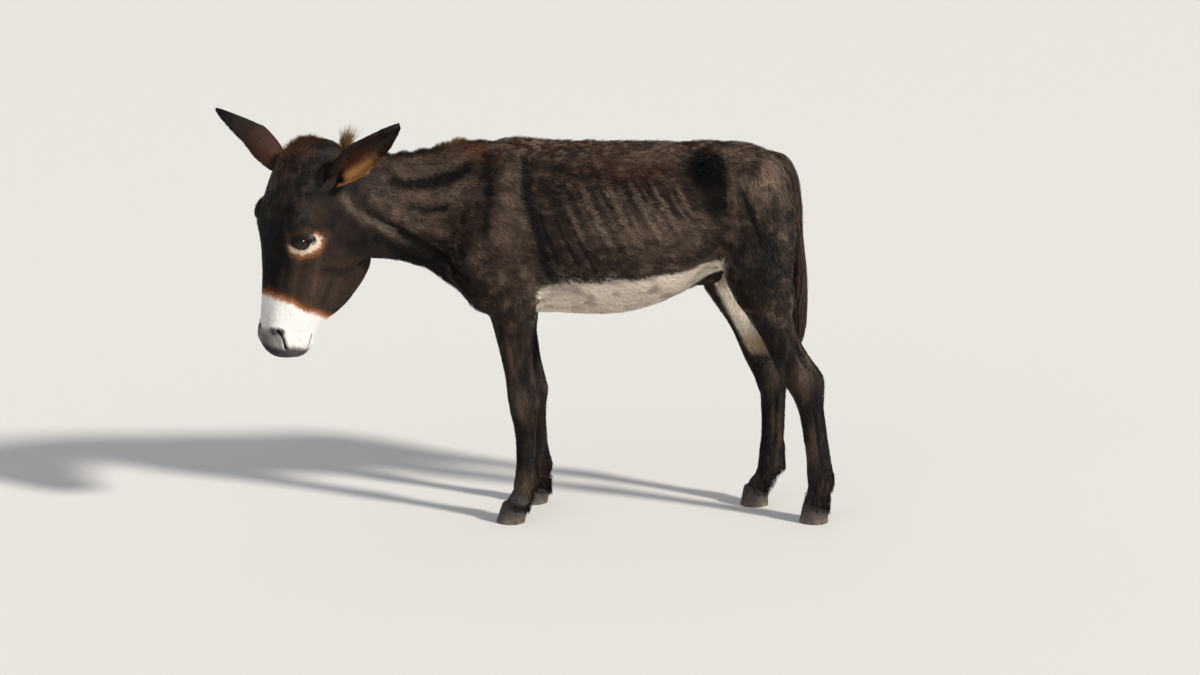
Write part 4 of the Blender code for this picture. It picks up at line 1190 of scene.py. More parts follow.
def head_colours(points, colours):
    """A fuzzy brown crown and forehead, painted shade on the front of the face, painted sheen on the cheek,
    painted highlights and shade on the bones, then the eyes and the muzzle.
    """
    t, n = head_place(points)[:2]
    own = head_share(points)
    fine, soft = noise(points, 0.006, 10), noise(points, 0.026, 11)
    crown = fade(t, 0.00, 0.060) * ramp(n, -0.10, -0.05)
    forehead = fade(t, 0.10, 0.19) * ramp(n, -0.09, -0.03)
    cheek_sheen = ramp(t, 0.22, 0.30) * fade(t, 0.36, 0.43) * ramp(-n, 0.01, 0.05)
    relief = carve_head(points)
    face = layers(
        between(DARK, BLACK, 0.85 * ramp(soft, 0.25, 0.70)),
        (RUST, 0.65 * crown * ramp(fine, 0.25, 0.75) * ramp(t, -0.045, 0.0)),
        (BROWN, 0.60 * forehead * ramp(noise(points, (0.008, 0.008, 0.016), 15), 0.4, 0.8)),
        # Painted sheen of warm brown on the cheek.
        (BROWN, 0.75 * cheek_sheen * (0.7 + 0.6 * (soft - 0.5))),
        (RUST, 0.18 * cheek_sheen * ramp(fine, 0.3, 0.8)),
        (BLACK, 0.45 * ramp(t, 0.14, 0.24) * ramp(-n, 0.13, 0.20)),
        # Painted shade on the front of the face, which faces away from the light.
        (BLACK, 0.75 * ramp(t, 0.12, 0.20) * ramp(n, -0.045, -0.010)),
        # Painted highlights on the bones that stand proud, and painted shade in the hollows.
        (ASH, 0.20 * ramp(relief, 0.0008, 0.0040)),
        (BLACK, 0.50 * ramp(-relief, 0.0008, 0.0035)),
    )
    face = eye_colours(points, face, own, fine)
    return mix(colours, muzzle_colours(points, face, own, t, n, soft, fine), own)


def ear_colours(points, normals, colours):
    """Dark backs and tips, and a warm lining, gold along the lower rim of the left ear."""
    fine = noise(points, 0.008, 12)
    for side, ear in EARS.items():
        share, away = ear_place(points, ear)
        level = np.clip(share, 0, 1)
        chord, half_angle = ear.at(level)[:2]
        half_angle = np.radians(half_angle)
        left = side == "left"
        rosy = 0.45 * fade(share, 0.15, 0.60) * (0.4 + fine) * (not left)
        outer = mix(between(DARK, RUST, rosy), BLACK, ramp(share, 0.60, 0.90))
        down = ear.across * (-1.0 if ear.across[2] > 0 else 1.0)
        low = (points - ear.centre(0.5)) @ down / (chord / 2)
        band = ramp(low, 0.30, 0.68) * fade(share, 0.34, 0.60) * left
        gold = ramp(low - 0.3 * share, 0.42, 0.74) * ramp(share, 0.08, 0.16) * fade(share, 0.38, 0.58)
        warm = 0.65 * ramp(share, 0.08, 0.20) * fade(share, 0.30, 0.65) * ramp(low, -0.5, 0.2)
        lining = layers(
            between(DARK * 0.8, RUST, warm),
            (TAN, 0.60 * band * ramp(share, 0.10, 0.20) * (0.7 + 0.5 * fine)),
            (GOLD, 0.92 * gold * left),
            (BLACK, ramp(share, 0.78, 0.93)),
        )
        # The lining is what faces the middle of the ear's arc.
        radius = chord / 2 / np.sin(np.minimum(half_angle, math.pi / 2))
        lift = radius * np.cos(np.minimum(half_angle, math.pi / 2))
        middle = ear.root + (share * EAR_LENGTH)[:, None] * ear.along \
            + (np.sin(np.pi * level) * EAR_BOW[side] + lift)[:, None] * ear.opening
        inner = ramp(np.sum(normals * unit(middle - points), axis=1), -0.05, 0.25)
        whole = layers(outer, (lining, inner), (BLACK, 0.8 * fade(share, 0.10, 0.17)))
        colours = mix(colours, whole, ramp(share, 0.04, 0.14) * (share < 1.15) * (away < EAR_REACH))
    return colours


def coat_colours(points, normals):
    """The markings, with painted sheen, highlights and shade, which the skin, the short coat and every tuft
    share.
    """
    x, y, z = points.T
    colours = leg_colours(points, normals, body_colours(points, normals))
    white = belly_share(points)
    dull = ramp(noise(points, (0.030, 0.020, 0.014), 18), 0.48, 0.85) * 0.5 * (z > 0.52) * (x < 0.27)
    ends = np.maximum(0.35 * bell(z - 0.570, 0.020), 0.80 * fade(z, 0.405, 0.455)) * (x > 0.28)
    colours = layers(colours, (BELLY, white), (GREY * 1.2, white * dull), (STRAW * 0.8, white * ends))
    colours = head_colours(points, colours)
    # A painted highlight along the jaw's rear edge, on the left side only.
    jaw = bell(route_distance(points, JAW_HIGHLIGHT, 0.030), 0.009) * ramp(-y, 0.06, 0.09)
    colours = mix(colours, ASH, 0.45 * jaw * (0.5 + noise(points, 0.008, 24)))
    return ear_colours(points, normals, colours)


def bare_share(points):
    """1 on lips, nostrils and lid edges, where the skin itself shows."""
    bare = np.zeros(len(points))
    for sign in (1, -1):
        slit, lips = (path_distance(points, LAID[name, sign])[0] for name in ("nostril", "mouth"))
        gap, distance, out = lid_gap(points, sign)[:3]
        bare = np.maximum(bare, fade(np.minimum(slit - 0.003, lips), 0.003, 0.007))
        bare = np.maximum(bare, fade(gap, 0.001, 0.003) * (distance < 0.03) * (out > 0.2))
    return bare


def store(mesh, name, values, kind="FLOAT_COLOR", field="color"):
    """Keeps a value for every vertex; a colour gets full alpha."""
    values = np.asarray(values, np.float32)
    if kind == "FLOAT_COLOR":
        values = np.column_stack((values, np.ones(len(values), np.float32)))
    mesh.attributes.new(name, kind, "POINT").data.foreach_set(field, values.ravel())


# ---------------------------------------------------------------- the lie of the coat
def coat_lie(points, normals):
    """The way the hair points at every place, along the skin."""
    x, z = points[:, 0], points[:, 2]
    t = head_place(points)[0]
    down = np.clip(0.30 + 1.3 * (0.80 - z), 0.15, 2.0)
    # The hair of the face parts from a whorl on the forehead.
    fall = -0.7 + 1.8 * ramp(t, 0.060, 0.330)
    backward = 1.0 - 0.75 * ramp(t, 0.250, 0.420)
    away = points - head_point(0.175, 0.004, 0.0)
    spread = unit(away) * bell(np.linalg.norm(away, axis=1), 0.05)[:, None]
    facing = DOWN_FACE * fall[:, None] - OUT_FACE * backward[:, None] + spread * 1.4
    lie = layers(
        np.column_stack((np.ones(len(points)), np.zeros(len(points)), -down)),
        (np.array((1.0, 0, 0)), ramp(-normals[:, 2], 0.15, 0.6)),
        (np.array((0.35, 0, -1.0)), ramp(x, 0.26, 0.36) * fade(z, 0.84, 0.90)),
        (np.array((0.10, 0, -1.0)), ramp(-z, -0.60, -0.50) * (leg_place(points)[0] >= 0)),
        (facing, head_share(points)),
    )
    for ear in EARS.values():
        share, gone = ear_place(points, ear)
        lie = mix(lie, ear.along, ramp(share, 0.03, 0.16) * (gone < EAR_REACH) * (share < 1.2))
    return unit(lie - normals * np.sum(lie * normals, axis=1, keepdims=True))


COAT_PIECES = ("coat_trunk_left", "coat_trunk_right", "coat_neck", "coat_head_left", "coat_forelegs",
               "coat_hindlegs", "coat_head_right", "coat_ears")


TRUNK_LEFT, TRUNK_RIGHT, NECK_COAT, HEAD_LEFT_HALF, FORELEG_COAT, HINDLEG_COAT, HEAD_RIGHT_HALF, EAR_COAT \
    = range(len(COAT_PIECES))


def part_share(points):
    """Which of the coat's pieces a root belongs to."""
    x, y, z = points.T
    part = np.where(y < 0, TRUNK_LEFT, TRUNK_RIGHT)
    part[(x < -0.285) & (z > 0.50)] = NECK_COAT
    face = ahead_of_neck(points) > -0.010
    part[face] = np.where(head_place(points)[2][face] > 0, HEAD_LEFT_HALF, HEAD_RIGHT_HALF)
    on = leg_place(points)[0]
    behind_head = part <= NECK_COAT
    part[np.isin(on, FORELEGS) & behind_head] = FORELEG_COAT
    part[np.isin(on, HINDLEGS) & behind_head] = HINDLEG_COAT
    part[near_ears(points) > 0.5] = EAR_COAT
    return part


def round_share(a, b):
    """The angle round a circle, as a share of it."""
    return np.arctan2(a, b) / (2 * math.pi) + 0.5


def unwrap(points, part):
    """Each piece's own flattening of the body: round its axis one way and along it the other."""
    x, y, z = points.T
    t, n, l = head_place(points)
    on, ahead, outward = leg_place(points)
    places = np.zeros((len(points), 2))

    def lay_flat(mine, u, v):
        places[mine] = np.column_stack((u, v))[mine]

    lay_flat(part <= TRUNK_RIGHT, (x + 0.36) / 0.86, np.abs(np.arctan2(y, z - 0.70)) / math.pi)
    neck_y = np.interp(x, (-0.62, -0.28), (-0.124, 0.0))
    lay_flat(part == NECK_COAT, (x + 0.66) / 0.40, round_share(y - neck_y, z - 0.76))
    lay_flat((part == HEAD_LEFT_HALF) | (part == HEAD_RIGHT_HALF), round_share(l, n + 0.10),
             (t + 0.05) / 0.58)
    for number, ear in enumerate(EARS.values()):
        share, away = ear_place(points, ear)
        off = points - ear.centre(0.5)
        lay_flat((part == EAR_COAT) & (away < EAR_REACH),
                 0.5 * number + 0.48 * round_share(off @ ear.across, off @ ear.opening), share / 1.1)
    lay_flat((part == FORELEG_COAT) | (part == HINDLEG_COAT),
             (on % 2) * 0.5 + 0.48 * round_share(outward, ahead), z / 0.62)
    return np.clip(places, 0.003, 0.997)


# ---------------------------------------------------------------- the coat itself
def scatter(mesh, weights, count, chance):
    """Even random places on the surface, weighted per vertex: (points, normals)."""
    mesh.calc_loop_triangles()
    corners = np.empty(len(mesh.loop_triangles) * 3, np.int32)
    mesh.loop_triangles.foreach_get("vertices", corners)
    corners = corners.reshape(-1, 3)
    points, normals = mesh_points(mesh), mesh_normals(mesh)
    a, b, c = points[corners[:, 0]], points[corners[:, 1]], points[corners[:, 2]]
    area = np.linalg.norm(np.cross(b - a, c - a), axis=1) / 2 * weights[corners].mean(axis=1)
    total = np.cumsum(area)
    chosen = np.searchsorted(total, chance.random(count) * total[-1])
    p, q = chance.random((2, count))
    over = p + q > 1
    p[over], q[over] = 1 - p[over], 1 - q[over]
    at = corners[chosen]
    blend = np.column_stack((1 - p - q, p, q))
    found = np.einsum("ij,ijk->ik", blend, points[at])
    return found, unit(np.einsum("ij,ijk->ik", blend, normals[at]))


# a hair's brightness at its root, the gain on the way up, and at its tip; how even white hairs are
ROOT_SHADE, SHADE_RISE, TIP_SHADE, WHITE_EVENNESS, LIGHTEST_HAIR = 0.72, 0.50, 1.25, 0.6, 0.92
HAIR_PATCH = 0.0015         # half the size of a hair's patch on its piece's map
# lengths, and by how much they change: metres at the fetlocks and the muzzle, shares elsewhere
BODY_HAIR, LEG_HAIR, FACE_HAIR, EAR_HAIR = 0.0150, 0.0095, 0.0085, 0.0075
FETLOCK_LONGER, MUZZLE_SHORTER, EAR_TIP_SHORTER, BELLY_EDGE_SHORTER = 0.0070, 0.0050, 0.55, 0.60
# how far hairs turn off the lie: together over an area, by lock, and each alone
BROAD_SWING, LOCK_SWING, HAIR_SWING = 0.9, 0.7, 0.10
LOCK_SIZE, MIDDLE_PULL, TIP_PULL = 0.0065, 0.25, 0.55
ROOT_DEPTH, MIDDLE_PLACE, MIDDLE_RISE = 0.0004, 0.55, 0.85
BACK_LIFT, FETLOCK_LIFT = 0.0042, 0.0034
HAIR_WIDTH, WIDTH_BY_LENGTH, MIDDLE_WIDTH = 0.00045, 0.060, 0.85
STRAND_WIDTH = {"mane_hair": 0.0010, "forelock_hair": 0.0008, "ear_fringe": 0.0008, "feather": 0.0011,
                "lashes": 0.00035}
TAIL_HAIR_WIDTH = 0.0016


def blades(name, rows, widths, across, colours, uv):
    """Flat tapered hairs as one mesh. rows: (steps, hairs, 3) middle lines; the last row is the tips."""
    steps, count = rows.shape[:2]
    verts = []
    for k in range(steps - 1):
        half = across * widths[k][:, None] / 2
        verts += [rows[k] - half, rows[k] + half]
    verts.append(rows[-1])
    per = len(verts)
    verts = np.stack(verts, axis=1).reshape(-1, 3)
    faces = []
    for k in range(steps - 2):
        faces += [(2 * k, 2 * k + 1, 2 * k + 3), (2 * k, 2 * k + 3, 2 * k + 2)]
    faces.append((per - 3, per - 2, per - 1))
    base = np.arange(count)[:, None, None] * per
    corners = (base + np.array(faces)[None]).reshape(-1, 3)
    mesh = bpy.data.meshes.new(name)
    mesh.vertices.add(len(verts))
    # No hair reaches out of the solids' own box.
    low, high = np.array(first_box)
    placed = np.clip(verts + SHIFT, low + BOX_MARGIN, high - BOX_MARGIN)
    mesh.vertices.foreach_set("co", np.ascontiguousarray(placed, np.float32).ravel())
    mesh.loops.add(corners.size)
    mesh.loops.foreach_set("vertex_index", corners.astype(np.int32).ravel())
    mesh.polygons.add(len(corners))
    mesh.polygons.foreach_set("loop_start", np.arange(0, corners.size, 3, dtype=np.int32))
    mesh.polygons.foreach_set("use_smooth", np.ones(len(corners), bool))
    mesh.update(calc_edges=True)
    # Darker roots and paler tips, less so on white hair.
    shades = [ROOT_SHADE + SHADE_RISE * (j // 2) / (steps - 1) for j in range(per - 1)] + [TIP_SHADE]
    evenness = WHITE_EVENNESS * np.clip(colours.mean(axis=1), 0, 1)
    shades = 1 + (np.array(shades) - 1)[None] * (1 - evenness)[:, None]
    tinted = np.clip(colours[:, None, :] * shades[:, :, None], 0, LIGHTEST_HAIR).reshape(-1, 3)
    store(mesh, "coat_colour", tinted)
    spread = np.array([((j % 2) * 2 - 1, j // 2 / (steps - 1) * 2 - 1) for j in range(per - 1)] + [(0, 1)])
    patch = (uv[:, None, :] + HAIR_PATCH * spread[None]).reshape(-1, 2)
    layer = mesh.uv_layers.new(name="OFBake")
    layer.data.foreach_set("uv", np.ascontiguousarray(patch[corners.ravel()], np.float32).ravel())
    return add_object(name, mesh)


def hair_length(points):
    """Longer on the body and the fetlocks, short on the legs, face and ears."""
    fetlock = (leg_place(points)[0] >= 0) * fade(points[:, 2], 0.060, 0.115)
    length = drawn(np.full(len(points), BODY_HAIR), (LEG_HAIR, leg_share(points)))
    length = length + FETLOCK_LONGER * fetlock
    face = FACE_HAIR - MUZZLE_SHORTER * ramp(head_place(points)[0], 0.20, 0.42)
    length = drawn(length, (face, head_share(points)), (EAR_HAIR, near_ears(points)))
    for ear in EARS.values():
        share, away = ear_place(points, ear)
        length *= 1 - EAR_TIP_SHORTER * ramp(share, 0.70, 0.95) * (away < 0.05) * (share < 1.1)
    return length


def hair_cover(points, length):
    """How thickly hair grows: none on bare skin, behind the lids or inside the hooves."""
    on, ahead = leg_place(points)[:2]
    hidden = np.zeros(len(points))
    for sign in (1, -1):
        gap, distance, out = lid_gap(points, sign)[:3]
        hidden = np.maximum(hidden, (gap < 0.002) * (distance < 0.026) * (out > 0))
    in_hoof = (on >= 0) * (points[:, 2] < coronet(ahead) - 0.002)
    return (0.012 / length) ** 1.05 * (1 - bare_share(points)) * (1 - hidden) * (1 - in_hoof)


def grow_coat(skin, count):
    """Short hairs lying along the body, in locks that draw together towards their tips."""
    chance = np.random.default_rng(COAT_SEED)
    points = mesh_points(skin.data)
    roots, normals = scatter(skin.data, hair_cover(points, hair_length(points)), count, chance)
    lie = coat_lie(roots, normals)
    side = np.cross(normals, lie)
    swing = (noise(roots, 0.035, 20) - 0.5) * BROAD_SWING + (noise(roots, 0.009, 21) - 0.5) * LOCK_SWING
    swing += chance.normal(0, HAIR_SWING, count)
    lie = lie * np.cos(swing)[:, None] + side * np.sin(swing)[:, None]
    length = hair_length(roots) * (0.70 + 0.45 * chance.random(count))
    # Hairs that would cross the white belly's edge are shorter, which keeps it crisp.
    crossing = np.abs(belly_share(roots + lie * length[:, None]) - belly_share(roots))
    length *= 1 - BELLY_EDGE_SHORTER * crossing
    depth = coat_depth(roots)
    # Hairs of a lock lean towards its middle.
    cell = LOCK_SIZE * (0.5 + length / BODY_HAIR)
    pull = (np.floor(roots / cell[:, None]) + 0.5) * cell[:, None] - roots
    pull -= normals * np.sum(pull * normals, axis=1, keepdims=True)
    rise = depth * (0.55 + 0.75 * chance.random(count) * (0.5 + noise(roots, 0.010, 22)))
    back = ramp(roots[:, 2], 0.855, 0.895) * (roots[:, 0] > -0.30) * (roots[:, 0] < 0.40)
    rise += BACK_LIFT * back * noise(roots, (0.014, 0.010, 0.010), 23) ** 2 * chance.random(count)
    rise += FETLOCK_LIFT * (leg_place(roots)[0] >= 0) * fade(roots[:, 2], 0.052, 0.080)
    across = unit(np.cross(normals, lie)) + normals * chance.normal(0, 0.15, count)[:, None]
    start = roots - normals * ROOT_DEPTH
    middle = roots + lie * (length * MIDDLE_PLACE)[:, None] + pull * MIDDLE_PULL \
        + normals * (rise * MIDDLE_RISE)[:, None]
    end = roots + lie * length[:, None] + pull * TIP_PULL + normals * rise[:, None]
    width = (HAIR_WIDTH + WIDTH_BY_LENGTH * length) * (0.7 + 0.6 * chance.random(count))
    colours = coat_colours(roots, normals)
    vary = 0.58 + 0.75 * chance.random(count) ** 1.4
    vary += (1.0 - vary) * 0.75 * np.clip(1.3 * colours.mean(axis=1), 0, 1)
    warm = 0.5 + chance.random(count)
    tint = np.column_stack((vary * (1 + 0.05 * warm), vary, vary * (1 - 0.04 * warm)))
    colours = np.clip(colours * tint, 0, 0.86)
    part = part_share(roots)
    uv, rows = unwrap(roots, part), np.stack((start, middle, end))
    widths = np.stack((width, width * MIDDLE_WIDTH))
    return [blades(name, rows[:, part == k], widths[:, part == k], across[part == k], colours[part == k],
                   uv[part == k]) for k, name in enumerate(COAT_PIECES)]


def strands(name, roots, tips, bows, colours, uv, steps=4):
    """Longer hairs from roots to tips, each bowed by its own offset half way along."""
    roots, tips, bows = np.array(roots), np.array(tips), np.array(bows)
    shares = np.linspace(0, 1, steps)
    rows = np.stack([roots + (tips - roots) * s + bows * (4 * s * (1 - s)) for s in shares])
    across = unit(np.cross(tips - roots, bows + (0.01, 0.02, 0.003)))
    widths = [np.full(len(roots), STRAND_WIDTH[name]) * (1.0 - 0.55 * s) for s in shares[:-1]]
    return blades(name, rows, widths, across, colours, uv)


# ---------------------------------------------------------------- mane, forelock, tail, fringes
MANE_HEIGHT, MANE_PEAK, MANE_PEAK_PLACE, MANE_HUMP, MANE_HUMP_PLACE = 0.014, 0.066, 0.90, 0.008, 0.24
MANE_SPREAD, MANE_SINK = 0.0045, 0.014      # how wide its roots lie, and how deep below the crest
MANE_HAIRS, PEAK_HAIRS, FORELOCK_HAIRS, TAIL_HAIRS, FEATHER_HAIRS = 3600, 240, 1700, 3400, 5400
FRINGE_HAIRS = {"left": 950, "right": 400}
LASHES, UPPER_LASHES, FEELERS = 90, 70, 26      # on each side


def mane_height(share):
    """The mane's height along the neck: low and wavy, with a tall tuft behind the ears and a hump behind."""
    wave = 0.72 + 0.28 * np.cos(2.4 * share * 25)
    low = MANE_HEIGHT * np.minimum(1.0, 0.25 + 3.0 * share) * wave
    return low + MANE_PEAK * np.exp(-((share - MANE_PEAK_PLACE) / 0.014) ** 2) \
        + MANE_HUMP * np.exp(-((share - MANE_HUMP_PLACE) / 0.05) ** 2)


def build_mane():
    """Short upright hair along the crest."""
    chance, count = np.random.default_rng(COAT_SEED + 1), MANE_HAIRS
    rows = smooth_rows(NECK, 12)
    places = np.arange(len(rows))
    share = chance.random(count)
    share[:PEAK_HAIRS] = np.clip(chance.normal(MANE_PEAK_PLACE, 0.007, PEAK_HAIRS), 0, 1)
    at = share * (len(rows) - 1)
    crest = np.column_stack([np.interp(at, places, rows[:, k]) for k in (0, 1, 2)])
    next_at = np.clip(at + 1, 0, len(rows) - 1)
    ahead = np.column_stack([np.interp(next_at, places, rows[:, k]) for k in (0, 1)]) - crest[:, :2]
    along = unit(np.column_stack((ahead, np.zeros(count))))
    side = np.cross(along, UP)
    roots = crest + side * chance.normal(0, MANE_SPREAD, count)[:, None] - UP * MANE_SINK
    height = mane_height(share) * (0.45 + 0.52 * chance.random(count)) + 0.012
    lock = np.round(share * 60) / 60 - share
    lean = side * chance.normal(0, 0.16, count)[:, None] \
        + along * (-0.35 + chance.normal(0, 0.18, count))[:, None]
    tips = roots + (UP + lean) * height[:, None] + along * (lock * 0.25)[:, None]
    tips[:, 2] = np.minimum(tips[:, 2], roots[:, 2] + height + 0.004)
    bows = side * chance.normal(0, 0.06, count)[:, None] * height[:, None]
    tall = np.maximum(bell(share - MANE_PEAK_PLACE, 0.03), 0.8 * bell(share - MANE_HUMP_PLACE, 0.06))
    colours = layers(
        between(DARK, BLACK, chance.random(count)),
        (RUST, 0.5 * tall * chance.random(count) + 0.20 * chance.random(count) ** 3),
        (STRAW * 0.8, 0.95 * tall * chance.random(count) ** 1.2),
    )
    uv = np.column_stack((0.02 + 0.96 * share, 0.5 + 0.4 * np.clip(chance.normal(0, 0.3, count), -1, 1)))
    return strands("mane_hair", roots, tips, bows, colours, uv)


def build_forelock(skin):
    """Fuzz between the ears, standing a little off the poll."""
    chance, count = np.random.default_rng(COAT_SEED + 2), FORELOCK_HAIRS
    points = mesh_points(skin.data)
    t, n, l = head_place(points)
    weights = bell(t - 0.012, 0.030) * bell(l, 0.026) * ramp(n, -0.135, -0.110) * (1 - near_ears(points))
    roots, normals = scatter(skin.data, weights, count, chance)
    height = 0.006 + 0.008 * chance.random(count)
    way = unit(-DOWN_FACE * 0.55 + OUT_FACE * 0.45 + normals * 0.8)
    tips = roots + (way + chance.normal(0, 0.14, (count, 3))) * height[:, None]
    colours = layers(between(BROWN, RUST, chance.random(count)), (STRAW, 0.35 * chance.random(count) ** 3))
    t, n, l = head_place(roots)
    uv = 0.5 + 8 * np.clip(np.column_stack((l, t)), -0.06, 0.06)
    bows = chance.normal(0, 0.0015, (count, 3))
    return strands("forelock_hair", roots - normals * 0.001, tips, bows, colours, uv)


def build_tail():
    """Long hairs hanging close along the dock to a thin switch."""
    chance, count, steps = np.random.default_rng(COAT_SEED + 3), TAIL_HAIRS, 7
    rows = smooth_rows(TAIL, 8)
    line = np.arange(len(rows))
    slope = np.clip(np.gradient(rows[:, 0], -rows[:, 1]), 0, 1.2)
    start = chance.random(count) ** 0.8 * 0.82
    reach = np.minimum(start + 0.12 + 0.20 * chance.random(count) + 0.20 * (start > 0.3),
                       0.90 + 0.095 * chance.random(count))
    about = chance.random(count) * 2 * math.pi
    drift, wave = chance.normal(0, 0.35, count), chance.random(count) * 2 * math.pi
    loose = 0.42 * chance.random(count) ** 2 - 0.06
    path = []
    for k in range(steps):
        gone, last = k / (steps - 1), k == steps - 1
        s = (start + (reach - start) * gone) * (len(rows) - 1)
        x, z, radius = (np.interp(s, line, rows[:, j]) for j in (0, 1, 2))
        lift = radius * (0.58 + 0.24 * min(1.0, k / 2) + loose * gone) * (1 - 0.15 * last)
        spin = about + drift * gone + 0.25 * np.sin(9.0 * s / len(rows) + wave)
        out = np.column_stack((np.cos(spin), np.sin(spin), np.cos(spin) * np.interp(s, line, slope)))
        path.append(np.column_stack((x, np.zeros(count), z)) + unit(out) * lift[:, None])
    across = np.cross(path[-1] - path[0], np.column_stack((np.cos(about), np.sin(about), np.zeros(count))))
    colours = layers(between(DARK, BLACK, chance.random(count)), (BROWN, 0.8 * chance.random(count) ** 2),
                     (RUST, 0.25 * chance.random(count) ** 3))
    widths = [np.full(count, TAIL_HAIR_WIDTH) * (1 - 0.6 * k / steps) for k in range(steps - 1)]
    uv = 0.02 + 0.96 * np.column_stack((about / (2 * math.pi), start))
    return blades("tail_hair", np.stack(path), widths, unit(across), colours, uv)


def build_ear_fringes():
    """Longer pale hairs that grow from the rims and the lining over the ears' openings."""
    chance = np.random.default_rng(COAT_SEED + 4)
    roots, tips, colours, uv = [], [], [], []
    for number, (side, ear) in enumerate(EARS.items()):
        left = side == "left"
        for _ in range(FRINGE_HAIRS[side]):
            share = 0.08 + 0.70 * chance.random() ** 1.2
            edge = 1 if chance.random() < 0.5 else -1
            turn = edge * (1.0 - 0.30 * chance.random() ** 1.5)
            place = ear.point(share, turn, 0.9)
            inward = unit(ear.opening * 0.5 - ear.across * edge * 0.55 + ear.along * 0.9)
            length = (0.014 - 0.009 * share) * (1.0 if left else 0.6) * (0.6 + 0.5 * chance.random())
            roots.append(place)
            tips.append(place + (inward + chance.normal(0, 0.16, 3)) * length)
            golden = left and (ear.across[2] < 0) == (edge > 0)
            shine = GOLD + (RUST - GOLD) * min(1.0, share / 0.7) if golden else DARK + (RUST - DARK) * 0.3
            colours.append(shine * (0.55 + 0.6 * chance.random()))
            uv.append((0.02 + 0.47 * number + 0.44 * (turn * 0.5 + 0.5), 0.02 + share))
    bows = chance.normal(0, 0.001, (len(roots), 3))
    return strands("ear_fringe", roots, tips, bows, np.array(colours), np.array(uv))


def build_feather(skin):
    """Longer hair round the coronets, which hangs over the tops of the hooves, and behind the fetlocks."""
    chance, count = np.random.default_rng(COAT_SEED + 6), FEATHER_HAIRS
    points = mesh_points(skin.data)
    on, ahead, outward = leg_place(points)
    above = points[:, 2] - coronet(ahead)
    rim = (on >= 0) * ramp(above, -0.002, 0.001) * fade(above, 0.007, 0.014)
    fetlock = (on >= 0) * bell(points[:, 2] - 0.100, 0.022) * ramp(-ahead, 0.010, 0.022)
    roots, normals = scatter(skin.data, np.maximum(rim, 0.40 * fetlock), count, chance)
    low = roots[:, 2] < 0.075
    way = normals * (1.0, 1.0, 0.0) * np.where(low, 0.66, 0.24)[:, None] - UP
    way = unit(way + chance.normal(0, 0.08, (count, 3)))
    length = 0.012 + 0.007 * chance.random(count) + 0.002 * low
    tips = roots + way * length[:, None]
    colours = layers(between(DARK, BLACK, chance.random(count)), (GREY, 0.30 * chance.random(count) ** 3))
    on, ahead, outward = leg_place(roots)
    uv = np.column_stack((0.02 + 0.24 * np.maximum(on, 0) + 0.22 * round_share(outward, ahead),
                          0.02 + 7.0 * np.clip(roots[:, 2], 0, 0.135)))
    bows = normals * np.where(low, 0.0026, 0.0012)[:, None]
    return strands("feather", roots, tips, bows, colours, uv)


def build_lashes(skin):
    """Upper eyelashes, a few lower ones, and the feelers of lips and chin."""
    chance = np.random.default_rng(COAT_SEED + 5)
    roots, tips, bows = [], [], []
    chin = mesh_points(skin.data)
    chin = chin[head_place(chin)[0] > 0.44]
    for sign in (1, -1):
        centre, along, across, outward = lid_axes(sign)
        for number in range(LASHES):
            upper = number < UPPER_LASHES
            u = (2 * chance.random() - 1) * 0.85
            height = (1 - abs(u) ** LID_POWER) ** (1 / LID_POWER) * (UPPER_LID if upper else LOWER_LID)
            flat = along * u * LID_HALF_LENGTH + across * height * LID_HALF_HEIGHT * (-1 if upper else 1)
            ray = unit(flat + outward * math.sqrt(max(EYE_BALL ** 2 - flat @ flat, 1e-6)))
            root = centre + ray * (EYE_BALL + 0.0012)
            length = (0.010 if upper else 0.005) * (0.7 + 0.5 * chance.random())
            roots.append(root)
            tips.append(root + unit(outward + across * (0.25 if upper else 0.6) + along * (0.5 * u)) * length)
            bows.append(across * (0.0016 if upper else -0.0005))
        for _ in range(FEELERS):
            t, n = 0.470 + 0.035 * chance.random(), -0.060 - 0.040 * chance.random()
            place = head_point(t, n, sign * (0.044 - 0.5 * max(t - 0.485, 0)))
            root = chin[np.argmin(np.linalg.norm(chin - place, axis=1))]
            roots.append(root)
            tips.append(root + unit(HEAD_LEFT * sign + DOWN_FACE * (0.4 + 0.5 * chance.random()))
                        * (0.006 + 0.005 * chance.random()))
            bows.append(OUT_FACE * chance.normal(0, 0.0008))
    uv = 0.02 + 0.96 * chance.random((2, len(roots))).T
    return strands("lashes", roots, tips, bows, np.tile(BLACK, (len(roots), 1)), uv)


# ---------------------------------------------------------------- eyes and hooves
IRIS_DARK, IRIS_LIGHT, IRIS_EDGE = srgb(34, 22, 15), srgb(58, 36, 22), srgb(12, 9, 8)
EYE_WHITE, PUPIL = srgb(44, 32, 27), srgb(5, 6, 10)
PUPIL_HALF_LENGTH, PUPIL_HALF_HEIGHT = 0.42, 0.22       # shares of the eyeball's radius
HORN_DARK, HORN_LIGHT = srgb(34, 29, 27), srgb(70, 60, 53)
HORN_DUST, HORN_TOP = srgb(118, 104, 90), srgb(26, 22, 20)
CLEFT_DEPTH, CLEFT_HALF_ANGLE = 0.0030, 0.16            # of the notch between the heels
RING_STEPS = 72         # points round an eye or a hoof


def finish_form(form, name, layer, colour):
    """A piece from a form, with the colours that a function gives for its points, in the solids' frame."""
    mesh = join_form(form, name)
    points = mesh_points(mesh)
    store(mesh, layer, colour(points))
    set_points(mesh, points + SHIFT)
    smooth_faces(mesh)
    return add_object(name, mesh)


